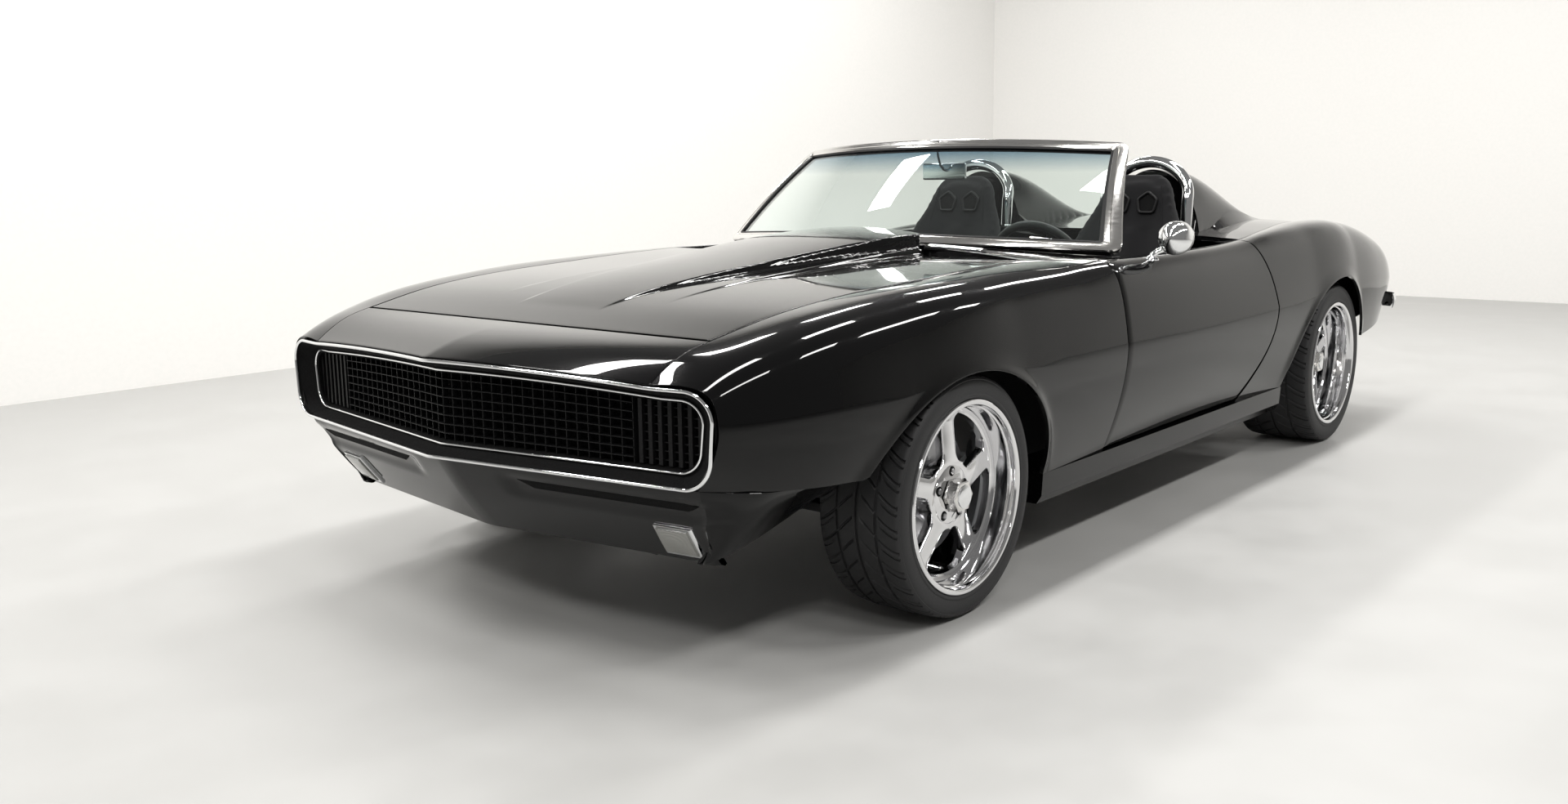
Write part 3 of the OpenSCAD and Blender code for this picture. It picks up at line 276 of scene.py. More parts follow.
def mesh_piece(name, points, faces, made, body, nodes=(), mirrored=False, smooth_to=38, weighted=True):
    """One finished piece, from points in millimetres."""
    points = np.asarray(points, float).reshape(-1, 3) * MM
    if mirrored:
        points = points * (1, -1, 1)
        faces = [tuple(reversed(f)) for f in faces]
    mesh = bpy.data.meshes.new(name)
    mesh.from_pydata([tuple(p) for p in points], [], [tuple(int(i) for i in f) for f in faces])
    mesh.validate()
    mesh.shade_smooth()
    mesh.set_sharp_from_angle(angle=math.radians(smooth_to))
    for one in made if isinstance(made, (list, tuple)) else [made]:
        mesh.materials.append(one)
    obj = bpy.data.objects.new(name, mesh)
    bpy.context.scene.collection.objects.link(obj)
    if weighted:
        obj.modifiers.new("even_normals", "WEIGHTED_NORMAL").keep_sharp = True
    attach(obj, body)
    if nodes:
        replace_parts(obj, *nodes)
    return obj


def grid_faces(m, n, start=0, turned=False):
    i, j = np.meshgrid(np.arange(m - 1), np.arange(n - 1), indexing="ij")
    a = (start + i * n + j).ravel()
    faces = np.stack([a, a + 1, a + n + 1, a + n], -1)
    return faces[:, ::-1] if turned else faces


def normals_of(grid):
    du, dv = np.gradient(grid, axis=0), np.gradient(grid, axis=1)
    n = np.cross(dv, du)
    return n / np.maximum(np.linalg.norm(n, axis=-1, keepdims=True), 1e-9)


def pressing(name, outer, inner, made, body, nodes=(), mirrored=False, fold=2.5):
    """A pressed panel: two grids of points joined round the rim, with the rim rolled over."""
    m, n = outer.shape[:2]
    c = m * n
    rim = ([j for j in range(n)] + [i * n + n - 1 for i in range(1, m)]
           + [(m - 1) * n + j for j in range(n - 2, -1, -1)] + [i * n for i in range(m - 2, 0, -1)])
    faces = [*map(tuple, grid_faces(m, n)), *map(tuple, grid_faces(m, n, c, True))]
    faces += [(q, p, c + p, c + q) for p, q in zip(rim, rim[1:] + rim[:1])]
    obj = mesh_piece(name, np.concatenate([outer.reshape(-1, 3), inner.reshape(-1, 3)]), faces, made, body,
                     nodes, mirrored)
    work = bmesh.new()
    work.from_mesh(obj.data)
    work.verts.ensure_lookup_table()
    edges = [work.edges.get((work.verts[a], work.verts[b])) for a, b in zip(rim, rim[1:] + rim[:1])]
    bmesh.ops.bevel(work, geom=[e for e in edges if e], offset=fold * MM, segments=3, profile=0.5,
                    affect="EDGES", clamp_overlap=True)
    bmesh.ops.recalc_face_normals(work, faces=work.faces)
    work.to_mesh(obj.data)
    work.free()
    obj.data.shade_smooth()
    obj.data.set_sharp_from_angle(angle=math.radians(38))
    return obj


# ---- Paint ----
# Deep black two-stage paint under thick polished clear lacquer, with a faint orange peel.
paint = finish_of("black_lacquer", (0.0022, 0.0022, 0.0024), 0.3, Coat_Weight=1.0, Coat_Roughness=0.015,
                  Coat_IOR=1.35, IOR=1.05)
grain(paint, 420, 0.00004, detail=1.0, rough=(0.13, 0.2))

# ---- Front wings ----
# Pressed steel wings, bolted to the body. Each wheel opening is rolled out into a lip, and
# the front edge leans forward to carry the grille opening.
door_front_x = drawn([[280, 563], [560, 556], [834, 572]], 0)
door_rear_x = drawn([[280, -480], [346, -540], [460, -622], [570, -653], [700, -630], [850, -550]], 0)
gap_half, nose_x, nose_v, nose_seam_x = 4, 2340, 107, 2233
side_steps = np.concatenate([np.linspace(0, 1, 32), np.linspace(1, 2, 22)[1:]])


def nose_front_x(y):
    return nose_x - nose_v * np.abs(y) / 640


wing_x = np.concatenate([np.linspace(560, 946, 30), front_axle_x
                         + 440 * np.cos(np.radians(np.arange(173, 27, -2.25))), np.linspace(1790, 2233, 38)])
wing_t = side_steps[None, :] * np.ones((len(wing_x), 1))
rear_shift = door_front_x(side(560, side_steps)[:, 2]) + gap_half - 560
front_lead = nose_front_x(side(2233, side_steps)[:, 1]) - nose_seam_x
wing_place = (wing_x[:, None] + rear_shift * np.clip(1 - (wing_x[:, None] - 560) / 200, 0, 1)
              + front_lead * np.clip((wing_x[:, None] - 2000) / 233, 0, 1))


def sheet_back(grid, depth):
    """Back of a side panel, pushed towards the middle of the car."""
    n = normals_of(grid)
    n = n * np.sign(n[..., 1:2] + n[..., 2:3] * 0.5 + 1e-9)
    back = grid - n * depth
    back[:, 0] = grid[:, 0] - (0, 0, depth)
    return back


wing_grid = side(wing_place, wing_t)
for which, flip in (("left", False), ("right", True)):
    pressing(f"front_wing_{which}", wing_grid, sheet_back(wing_grid, 11), paint, "body",
             [f"wing_{which}"], flip)

# ---- Rear quarters ----
# The quarters are welded to the sills and swell up over the rear wheels behind the doors.
quarter_end_x = -2290
quarter_x = np.concatenate([np.linspace(quarter_end_x, -1680, 50), rear_axle_x
                            - 312 * np.cos(np.radians(np.arange(16, 90, 2.5))),
                            rear_axle_x + 470 * np.cos(np.radians(np.arange(90, 2, -2.2))),
                            np.linspace(-884, -560, 26)])
quarter_x = np.unique(np.round(quarter_x, 2))
rear_lead = door_rear_x(side(-560, side_steps)[:, 2]) - gap_half + 560
quarter_place = quarter_x[:, None] + rear_lead * np.clip((quarter_x[:, None] + 860) / 300, 0, 1)
quarter_grid = side(quarter_place, side_steps[None, :] * np.ones((len(quarter_x), 1)))
quarter_back = sheet_back(quarter_grid, 11)
deep = np.clip((quarter_x[:, None] + 860) / 60, 0, 1)
quarter_back[..., 1] = blend(quarter_back[..., 1], np.minimum(quarter_back[..., 1], 778), deep)
for which, flip in (("left", False), ("right", True)):
    pressing(f"rear_quarter_{which}", quarter_grid, quarter_back, paint, "body",
             [f"quarter_{which}"], flip)

# ---- Doors ----
# Shaved doors without outer handles, hinged at the front, with a trimmed inner face.
door_low_z = 288
door_u = np.linspace(0, 1, 76)[:, None]
door_front = door_front_x(side(560, side_steps)[:, 2]) - gap_half
door_rear = door_rear_x(side(-560, side_steps)[:, 2]) + gap_half


def door_face(x):
    points = side(x, np.broadcast_to(side_steps, x.shape))
    low = side_steps > 1
    widest = side(x, np.ones_like(x))[..., 2]
    z = np.where(low, blend(widest, door_low_z, np.clip(side_steps - 1, 0, 1)), points[..., 2])
    points[..., 2] = z
    return points


door_grid = door_face(blend(door_front, door_rear, door_u))
door_grid[0, :, 1] -= 3
door_back = door_face(blend(door_front, door_rear + 20, door_u))
door_back[..., 2] -= np.where(side_steps < 0.3, 4, 0)
door_back[..., 1] = 778
for which, flip in (("left", False), ("right", True)):
    pressing(f"door_skin_{which}", door_grid, door_back, paint, f"door_{which}",
             [f"door_{which}"], flip)

# ---- Nose panel ----
# The steel panel between bonnet and grille, with a sharp fold down its middle where the
# nose comes to a point.
bonnet_front_x = 2053
nose_u, nose_w = np.meshgrid(np.concatenate([np.linspace(-1, -0.02, 40), [0], np.linspace(0.02, 1, 40)]),
                             np.linspace(0, 1, 30))
seam_x = blend(bonnet_front_x + 8, nose_seam_x, nose_w)
nose_grid = np.stack([seam_x + (nose_x - nose_seam_x) * (1 - np.abs(nose_u)) * nose_w,
                      nose_u * (top_y(seam_x) - 1.2),
                      top_line_z(seam_x) + 20 * nose_w * (1 - nose_u ** 2)], -1)
pressing("nose_top", nose_grid, nose_grid - np.stack([nose_w * 6, nose_w * 0, nose_w * 0 + 12], -1), paint,
         "body", ["nose_panel"])

# ---- Bonnet ----
# A steel bonnet with a raised scoop that opens towards the windshield, where the air
# pressure is high. A lower step runs along each side of the scoop.
bonnet_rear_side_x, bonnet_rear_step_x, bonnet_rear_mid_x = 800, 715, 655
bonnet_crown = drawn([[600, 4], [1230, 6], [1810, 6], [2053, 0]])


def bonnet_rear_x(u):
    a = np.abs(u)
    return (blend(bonnet_rear_mid_x, bonnet_rear_step_x, ease((a - 0.34) / 0.07))
            + (bonnet_rear_side_x - bonnet_rear_step_x) * np.clip((a - 0.41) / 0.59, 0, 1) ** 1.5)


def scoop(x, y):
    s = np.clip((1925 - x) / (1925 - bonnet_rear_mid_x), 0, 1)
    step = np.clip((1840 - x) / (1840 - bonnet_rear_mid_x), 0, 1)
    edge = blend(147, 255, s)
    return (45 * s * (1 - ease((np.abs(y) - edge) / 15)) + 17 * s * np.clip(1 - (y / edge) ** 2, 0, 1)
            + 16 * step * (1 - ease((np.abs(y) - blend(300, 290, step)) / 13)))


half_u = np.unique(np.round(np.concatenate([np.linspace(0, 0.2, 12), np.linspace(0.2, 0.48, 64),
                                            np.linspace(0.48, 1, 24)]), 4))
bonnet_u, bonnet_v = np.meshgrid(np.concatenate([-half_u[:0:-1], half_u]), np.linspace(1, 0, 80))
bonnet_x = blend(bonnet_front_x, bonnet_rear_x(bonnet_u), bonnet_v)
bonnet_y = bonnet_u * (top_y(np.maximum(bonnet_x, bonnet_rear_side_x)) - 6)
bonnet_z = top_line_z(bonnet_x) + bonnet_crown(bonnet_x) * (1 - (bonnet_y / top_y(bonnet_x)) ** 2)
bonnet_grid = np.stack([bonnet_x, bonnet_y, bonnet_z + scoop(bonnet_x, bonnet_y)], -1)
bonnet_back = bonnet_grid.copy()
bonnet_back[..., 0] = np.minimum(bonnet_back[..., 0], bonnet_front_x - 14)
bonnet_back[..., 2] -= 24
pressing("bonnet_skin", bonnet_grid, bonnet_back, paint, "bonnet", ["bonnet"])

# ---- Cowl ----
# The fixed panel between bonnet and windshield, in body colour.
cowl_u, cowl_v = np.meshgrid(np.linspace(-1, 1, 90), np.linspace(1, 0, 22))


def glass_base_x(y):
    return 628 - (628 - 392) * (np.abs(y) / 772) ** 2.2


cowl_x = blend(bonnet_rear_x(cowl_u) - 8, glass_base_x(cowl_u * 774) - 45, cowl_v)
cowl_y = cowl_u * (np.minimum(top_y(cowl_x), 775) - 1.5)
cowl_grid = np.stack([cowl_x, cowl_y, top_surface(cowl_x, cowl_y)], -1)
cowl_back = cowl_grid.copy()
cowl_back[..., 2] = 826
pressing("cowl_skin", cowl_grid, cowl_back, paint, "body", ["cowl"])

# ---- Rear cover with its head fairings ----
# A hard moulded cover, painted like the body, closes the rear of the cabin. Behind each
# hoop it rises into a rounded fairing that fades out towards the boot lid.
deck_lift = drawn([[-1632, 0], [-900, 8], [-600, 18]], 0)


def deck(x, y):
    return top_surface(x, y) + deck_lift(x) * (1 - (y / top_y(x)) ** 2)


def fairing(x, y):
    s = np.clip((-722 - x) / 800, 0, 1)
    u = (np.abs(y) - 385) / blend(188, 150, s)
    fall = 1 - 0.13 * s - 0.87 * ease((s - 0.12) / 0.88) ** 1.15
    return np.where(x > -722, 0, 225 * fall * np.clip(1 - u * u, 0, 1) ** 0.62)


half_w = np.concatenate([np.linspace(0, 0.2, 8), 0.5 - 0.245 * np.cos(np.linspace(0, np.pi, 48)) + 0.012,
                         np.linspace(0.8, 1, 14)])
half_w = np.unique(np.round(half_w, 4))
cover_x = np.concatenate([np.linspace(-600, -716, 14), np.linspace(-721, -723.5, 3),
                          np.linspace(-730, -1632, 66)])
cover_u = np.concatenate([half_w[:0:-1], [0], -half_w[1:]])
cover_xx, cover_uu = np.meshgrid(cover_x, cover_u, indexing="ij")
cover_y = cover_uu * (top_y(cover_xx) - 0.7)
cover_grid = np.stack([cover_xx, cover_y, deck(cover_xx, cover_y) + fairing(cover_xx - 1, cover_y)], -1)
back_x = cover_xx - np.where((cover_xx < -700) & (cover_xx > -1600), 14, 0)
back_y = cover_uu * (top_y(back_x) - 0.7)
cover_back = np.stack([back_x, back_y, deck(back_x, back_y) + fairing(back_x - 1, back_y) - 18], -1)
pressing("rear_cover", cover_grid, cover_back, paint, "body", ["tonneau"])

# ---- Boot lid and tail panel ----
# The steel lid is hinged at its front edge. The flat tail panel below carries the lamps
# and the filler cap.
lid_front_x, lid_rear_x = -1642, -2282
lid_v, lid_u = np.meshgrid(np.linspace(0, 1, 60), np.linspace(1, -1, 80), indexing="ij")
lid_x = blend(lid_front_x, lid_rear_x, lid_v)
lid_y = lid_u * (top_y(lid_x) - 6)
lid_grid = np.stack([lid_x, lid_y, top_surface(lid_x, lid_y)], -1)
lid_back = lid_grid.copy()
lid_back[..., 0] = np.maximum(lid_back[..., 0], lid_rear_x + 14)
lid_back[..., 2] -= 21
pressing("boot_lid_skin", lid_grid, lid_back, paint, "boot_lid", ["boot_lid"])

# ---- Bright trim of the nose ----
# Two loops of polished stainless strip: one round the whole opening, one round the grille.
# Each loop is swept as one closed piece.
chrome = grain(finish_of("bright_chrome", (0.88, 0.89, 0.9), 0.06, 1.0), 60, 0.00002, rough=(0.04, 0.09))
stainless = grain(finish_of("polished_stainless", (0.80, 0.79, 0.77), 0.12, 1.0), 30, 0.00003,
                  stretch=(1, 1, 12), rough=(0.09, 0.17))
black_plastic = grain(finish_of("black_moulding", (0.005, 0.005, 0.0055), 0.5, Specular_IOR_Level=0.22), 600,
                      0.00008, rough=(0.42, 0.56))
dull_black = grain(finish_of("dull_black", (0.003, 0.003, 0.0032), 0.8, Specular_IOR_Level=0.15), 300,
                   0.0002, rough=(0.7, 0.9))


def swept(name, path, section, made, body, nodes=(), closed=False, up=(0, 0, 1), mirrored=False,
          smooth_to=40):
    """A strip or tube: a section of (out, up) points carried along a path."""
    path, section = np.asarray(path, float), np.asarray(section, float)
    ahead = np.roll(path, -1, 0) - np.roll(path, 1, 0)
    if not closed:
        ahead[0], ahead[-1] = path[1] - path[0], path[-1] - path[-2]
    ahead /= np.linalg.norm(ahead, axis=1, keepdims=True)
    across = np.cross(ahead, np.broadcast_to(np.asarray(up, float), ahead.shape))
    across /= np.linalg.norm(across, axis=1, keepdims=True)
    raised = np.cross(across, ahead)
    points = (path[:, None] + section[None, :, 0:1] * across[:, None] + section[None, :, 1:2]
              * raised[:, None])
    m, n = len(path), len(section)
    faces = []
    for i in range(m if closed else m - 1):
        a, b = i * n, (i + 1) % m * n
        faces += [(a + k, b + k, b + (k + 1) % n, a + (k + 1) % n) for k in range(n)]
    if not closed:
        faces += [tuple(range(n)), tuple((m - 1) * n + k for k in range(n - 1, -1, -1))]
    return mesh_piece(name, points, faces, made, body, nodes, mirrored, smooth_to)


def round_section(wide, high, n=14):
    a = np.linspace(0, 2 * np.pi, n, endpoint=False)
    return np.stack([wide * np.cos(a), high * np.sin(a)], -1)


def nose_loop(half_w, z0, z1, corner, lead):
    """Outline of a loop on the nose, clockwise from the middle of its top edge."""
    straight = np.linspace(0, 1, 30)
    turn_a = np.radians(np.arange(85, -1, -6))
    turn_b = np.radians(np.arange(-4, -91, -6))
    rights = ([((half_w - corner) * s, z1) for s in straight]
              + [(half_w - corner + corner * math.cos(a), z1 - corner * 0.9 + corner * 0.9 * math.sin(a))
                 for a in turn_a]
              + [(half_w - corner + corner * math.cos(a) - 6, z0 + corner + corner * math.sin(a))
                 for a in turn_b]
              + [((half_w - corner) * s, z0) for s in straight[::-1]])
    whole = rights + [(-y, z) for y, z in rights[-2:0:-1]]
    y, z = np.array(whole).T
    lift = 20 * np.maximum(0, 1 - (y / 640) ** 2) * np.clip((z - z0) / (z1 - z0), 0, 1)
    return np.stack([nose_front_x(y) + lead, y, z + lift], -1)


outer_loop = nose_loop(797, 466, 674, 70, 5)
inner_loop = nose_loop(744, 490, 648, 55, -34)
trim_section = round_section(4.2, 4.2, 14)
swept("outer_bright_loop", outer_loop, trim_section, chrome, "body", ["grille_trim"], True,
      (1, 0, 0))
swept("inner_bright_loop", inner_loop, round_section(3.4, 3.4, 12), chrome, "body", (), True,
      (1, 0, 0))
# the black inner sides of the opening, from one loop back to the other and on to the grille
rings = [outer_loop - (4, 0, 0), nose_loop(790, 472, 667, 66, -6), nose_loop(752, 483, 655, 58, -36),
         nose_loop(738, 494, 643, 52, -38), nose_loop(736, 496, 641, 50, -66)]
tunnel = np.stack(rings)
count = tunnel.shape[1]
faces = [(i * count + k, i * count + (k + 1) % count, (i + 1) * count + (k + 1) % count, (i + 1) * count + k)
         for i in range(len(rings) - 1) for k in range(count)]
surround = mesh_piece("grille_surround", tunnel, faces, dull_black, "body")
surround.modifiers.new("thickness", "SOLIDIFY").thickness = 0.002

# ---- Grille ----
# Moulded egg-crate grille in satin black. Its outer ends are separate covers in front of
# the headlamps, with wider upright bars.
def bars(name, boxes, made, body, nodes=(), mirrored=False):
    """Straight bars as (x0, x1, y0, y1, z0, z1) or as eight corner points."""
    points, faces = [], []
    for box in boxes:
        box = np.asarray(box, float)
        if box.shape == (6,):
            x0, x1, y0, y1, z0, z1 = box
            box = np.array([(x0, y0, z0), (x1, y0, z0), (x1, y1, z0), (x0, y1, z0),
                            (x0, y0, z1), (x1, y0, z1), (x1, y1, z1), (x0, y1, z1)])
        c = len(points)
        points.extend(box)
        faces += [(c, c + 3, c + 2, c + 1), (c + 4, c + 5, c + 6, c + 7), (c, c + 1, c + 5, c + 4),
                  (c + 1, c + 2, c + 6, c + 5), (c + 2, c + 3, c + 7, c + 6), (c + 3, c, c + 4, c + 7)]
    return mesh_piece(name, points, faces, made, body, nodes, mirrored, weighted=False)


def leaning_bar(y0, y1, z0, z1, set_back, deep, thick):
    """A bar in the plane of the nose, from (y0, z0) to (y1, z1)."""
    dy, dz = y1 - y0, z1 - z0
    length = math.hypot(dy, dz)
    ny, nz = -dz / length * thick / 2, dy / length * thick / 2
    corners = [(y0 - ny, z0 - nz), (y1 - ny, z1 - nz), (y1 + ny, z1 + nz), (y0 + ny, z0 + nz)]
    return [(nose_front_x(y) - set_back - deep, y, z) for y, z in corners] + [
        (nose_front_x(y) - set_back, y, z) for y, z in corners]


grille_top, grille_foot, cover_y_in, cover_y_out = 646, 492, 566, 738
upper = lambda y: grille_top + 20 * max(0, 1 - (y / 640) ** 2)
crate = []
columns = np.linspace(-553, 553, 37)
for y in columns:
    crate.append(leaning_bar(y, y, grille_foot, upper(y), 46, 16, 2.0))
for row in range(1, 8):
    for a, b in zip(columns[:-1], columns[1:]):
        za, zb = (blend(grille_foot, upper(v), row / 8) for v in (a, b))
        crate.append(leaning_bar(a, b, za, zb, 44, 17, 2.0))
for turn in (-1, 1):
    for y in np.linspace(cover_y_in + 6, cover_y_out - 12, 7):
        crate.append(leaning_bar(turn * y, turn * y, grille_foot + 8, grille_top - 4, 46, 12, 10))
    for row in range(1, 8):
        z = blend(grille_foot, grille_top, row / 8)
        crate.append(leaning_bar(turn * cover_y_in, turn * (cover_y_out - 4), z, z, 52, 10, 2.2))
bars("egg_crate_grille", crate, black_plastic, "body", ["grille"])
# a dull black sheet close behind the grille and its lamp covers stands in for the shade inside the nose:
# painted shade
shade_sheets = []
for turn in (-1, 1):
    shade_sheets.append([(nose_front_x(abs(y)) - 64 - d, turn * y, z) for z in (grille_foot - 6, grille_top + 24)
                    for y, d in ((0, 6), (742, 6), (742, 0), (0, 0))])
bars("grille_painted_shade",
     [b if b[1][1] > 0 else [b[1], b[0], b[3], b[2], b[5], b[4], b[7], b[6]] for b in shade_sheets],
     dull_black, "body")

# ---- Front valance and its lamps ----
# A painted steel valance tucks under the nose, with a long slot and a clear parking
# lamp on each side; a dull black strip in each slot is painted shade for its depth.
def valance_plan(s):
    r = np.clip((s - 1) / 0.5, 0, 1)
    x = np.where(s <= 1, nose_x - 30 - 108 * s,
                 nose_x - 138 - 60 * np.sin(np.radians(np.minimum(90, 300 * r))) * 0.4
                 - (nose_x - 138 - 1812) * r ** 1.25)
    y = np.where(s <= 1, 748 * s, 748 + 66 * np.sin(np.radians(90 * np.clip(r * 2.2, 0, 1))))
    return x, y


def valance(s, v, d=0.0):
    s, v = np.broadcast_arrays(np.asarray(s, float), np.asarray(v, float))
    a = np.sqrt(s * s + 0.0004)
    x, y = valance_plan(a)
    turn = np.radians(90 * ease((a - 0.9) / 0.25))
    back = np.clip((a - 1.08) / 0.42, 0, 1)
    low = blend(262, 398, back ** 1.3)
    high = np.minimum(466, lower_edge(x) - 1.4 + 60 * (1 - ease((a - 0.86) / 0.08)))
    tuck = blend(133, 40, back) * v ** 1.25 + d
    return np.stack([x - np.cos(turn) * tuck, np.sign(s) * (y - np.sin(turn) * tuck), blend(high, low, v)],
                    -1)


apron_s, apron_v = np.meshgrid(np.linspace(1.5, -1.5, 151), np.linspace(0, 1, 31))
apron = valance(apron_s, apron_v)
hollow = 9 * np.exp(-((apron[..., 2] - 405) / 26) ** 4) * ease((np.abs(apron[..., 1]) - 150) / 60) * ease(
    (790 - np.abs(apron[..., 1])) / 60)
apron[..., 0] -= hollow
pressing("valance_skin", apron, valance(apron_s, apron_v, 20), paint, "body", ["front_valance"])
slot_v = lambda z: (466 - z) / 204
for which, flip in (("left", False), ("right", True)):
    s_in, s_out = 0.28, 0.98
    # the slot is not cut through: a dull black strip in the hollow is painted shade for the opening
    strip = [valance(np.linspace(blend(s_in, s_in + 0.06, k), s_out - 0.06 * k, 30), slot_v(z), -1.2 + 9)
             for k, z in ((0, 424), (0.5, 414), (1, 404))]
    line = np.stack(strip)
    pressing(f"valance_slot_shade_{which}", line + (1.5, 0, 0), line - (3, 0, 0), dull_black, "body",
             (), flip, 0.8)

lamp_glass = finish_of("clear_lens", (0.30, 0.30, 0.28), 0.18, Coat_Weight=1.0, Coat_Roughness=0.03)
grain(lamp_glass, 190, 0.0006, stretch=(1, 1, 0.2), kind="WAVE",
      tint=((0.16, 0.16, 0.15), (0.36, 0.36, 0.33)))


def lamp_patch(grow, depth, rows=9, cols=13):
    v, k = np.meshgrid(np.linspace(0.56 - grow * 0.5, 0.905 + grow * 0.5, rows), np.linspace(0, 1, cols),
                       indexing="ij")
    s = blend(0.92 + grow * 0.14, 0.80 - grow * 0.14, k) - 0.05 * v
    return valance(s, v, depth)


for which, flip in (("left", False), ("right", True)):
    dome = lamp_patch(-0.02, -14)
    v, k = np.meshgrid(np.linspace(-1, 1, 9), np.linspace(-1, 1, 13), indexing="ij")
    dome[..., 0] += 4 * (1 - v ** 2) * (1 - k ** 2)
    nodes = ["park_lamps"] if not flip else ()
    pressing(f"park_lamp_lens_{which}", dome, lamp_patch(-0.02, -3), lamp_glass, "body", nodes,
             flip, 1.5)
    pressing(f"park_lamp_bezel_{which}", lamp_patch(0.045, -8), lamp_patch(0.06, 0.5), chrome, "body",
             (),
             flip, 2.0)

# ---- Windshield ----
# Laminated glass, faintly green with a blue shade band, in a bright frame with rounded
# corners. A latch stands in the middle of the header and a mirror hangs below it.
glass_top_z = 1198


def glass_point(u, v):
    u, v = np.broadcast_arrays(np.asarray(u, float), np.asarray(v, float))
    y0, y1 = u * 772, u * 640
    base = np.stack([glass_base_x(y0), y0, blend(889, 866, u * u)], -1)
    head = np.stack([202 - (202 - 76) * np.abs(u) ** 2.2, y1, blend(glass_top_z, glass_top_z - 22, u * u)],
                    -1)
    return base + (head - base) * v[..., None] + np.array([14, 0, 8]) * (4 * v * (1 - v))[..., None]


def glass_normal(u, v, e=0.01):
    du = glass_point(u + e, v) - glass_point(u - e, v)
    dv = glass_point(u, v + e) - glass_point(u, v - e)
    n = np.cross(dv, -du)
    return n / np.linalg.norm(n, axis=-1, keepdims=True)


def frame_outline(du, dv, c, n=36):
    a = 1 - du
    turn = np.radians(np.arange(0, 91, 10))
    side_v = np.linspace(0, 1, 26)[1:-1]
    low, high = dv + 1.6 * c, 1 - dv - 1.6 * c
    pts = [(blend(-a + c, a - c, k / n), dv) for k in range(n)]
    pts += [(a - c + c * math.sin(t), dv + 1.6 * c * (1 - math.cos(t))) for t in turn]
    pts += [(a, blend(low, high, s)) for s in side_v]
    pts += [(a - c + c * math.cos(t), 1 - dv - 1.6 * c * (1 - math.sin(t))) for t in turn]
    pts += [(blend(a - c, -a + c, k / n), 1 - dv) for k in range(1, n)]
    pts += [(-a + c - c * math.sin(t), 1 - dv - 1.6 * c * (1 - math.cos(t))) for t in turn]
    pts += [(-a, blend(high, low, s)) for s in side_v]
    pts += [(-a + c - c * math.cos(t), dv + 1.6 * c * (1 - math.sin(t))) for t in turn]
    return np.array(pts)


def closed_ring_faces(m, n):
    """Faces of m sections of n points, closed both ways."""
    return [(i * n + k, (i + 1) % m * n + k, (i + 1) % m * n + (k + 1) % n, i * n + (k + 1) % n)
            for i in range(m) for k in range(n)]


glass_edge, frame_edge = frame_outline(0.035, 0.05, 0.012), frame_outline(-0.03, -0.03, 0.045)
facing = glass_normal(glass_edge[:, 0], glass_edge[:, 1])
glass_rim, frame_rim = glass_point(*glass_edge.T), glass_point(*frame_edge.T)
section = [(0.0, -15), (0.0, 7), (0.08, 9), (0.3, 12), (0.34, 9.5), (0.38, 12.5), (0.7, 14.5), (0.93, 13),
           (1, 9), (1, -11),
           (0.94, -15)]
loops = np.stack([blend(glass_rim, frame_rim, w) + d * facing for w, d in section], 1)
loops[..., 2] = np.maximum(loops[..., 2],
                           top_surface(loops[..., 0], np.minimum(np.abs(loops[..., 1]), 774)) + 0.6)
mesh_piece("windshield_surround", loops, closed_ring_faces(*loops.shape[:2]), stainless, "body",
           ["windshield_frame"], smooth_to=30)
seal = np.stack([blend(glass_rim, frame_rim, w) + d * facing for w, d in
                 [(-0.16, 4), (-0.16, 6.5), (0.03, 9.5), (0.06, 4), (0.03, -15.5), (-0.16, -8),
                  (-0.16, -4)]], 1)
mesh_piece("windshield_seal", seal, closed_ring_faces(*seal.shape[:2]), black_plastic, "body",
           smooth_to=30)

glass = finish_of("tinted_glass", (0.9, 0.97, 0.95), 0.0, Transmission_Weight=1.0, IOR=1.45)
shader = glass.node_tree.nodes["Principled BSDF"]
place = glass.node_tree.nodes.new("ShaderNodeTexCoord")
split = glass.node_tree.nodes.new("ShaderNodeSeparateXYZ")
band = glass.node_tree.nodes.new("ShaderNodeMapRange")
band_low_z, band_high_z = 1.10, 1.19
band.inputs["From Min"].default_value, band.inputs["From Max"].default_value = band_low_z, band_high_z
tone = glass.node_tree.nodes.new("ShaderNodeValToRGB")
tone.color_ramp.elements[0].color = (0.86, 0.95, 0.92, 1)
tone.color_ramp.elements[1].color = (0.02, 0.17, 0.30, 1)
link = glass.node_tree.links.new
link(place.outputs["Object"], split.inputs[0])
link(split.outputs["Z"], band.inputs["Value"])
link(band.outputs["Result"], tone.inputs["Fac"])
link(tone.outputs["Color"], shader.inputs["Base Color"])
pane_v, pane_u = np.meshgrid(np.linspace(0.052, 0.948, 24), np.linspace(-0.963, 0.963, 60), indexing="ij")
pane, pane_n = glass_point(pane_u, pane_v), glass_normal(pane_u, pane_v)
pressing("windshield_pane", pane + 2.5 * pane_n, pane - 2.5 * pane_n, glass, "body",
         ["windshield_glass"],
         fold=0.5)


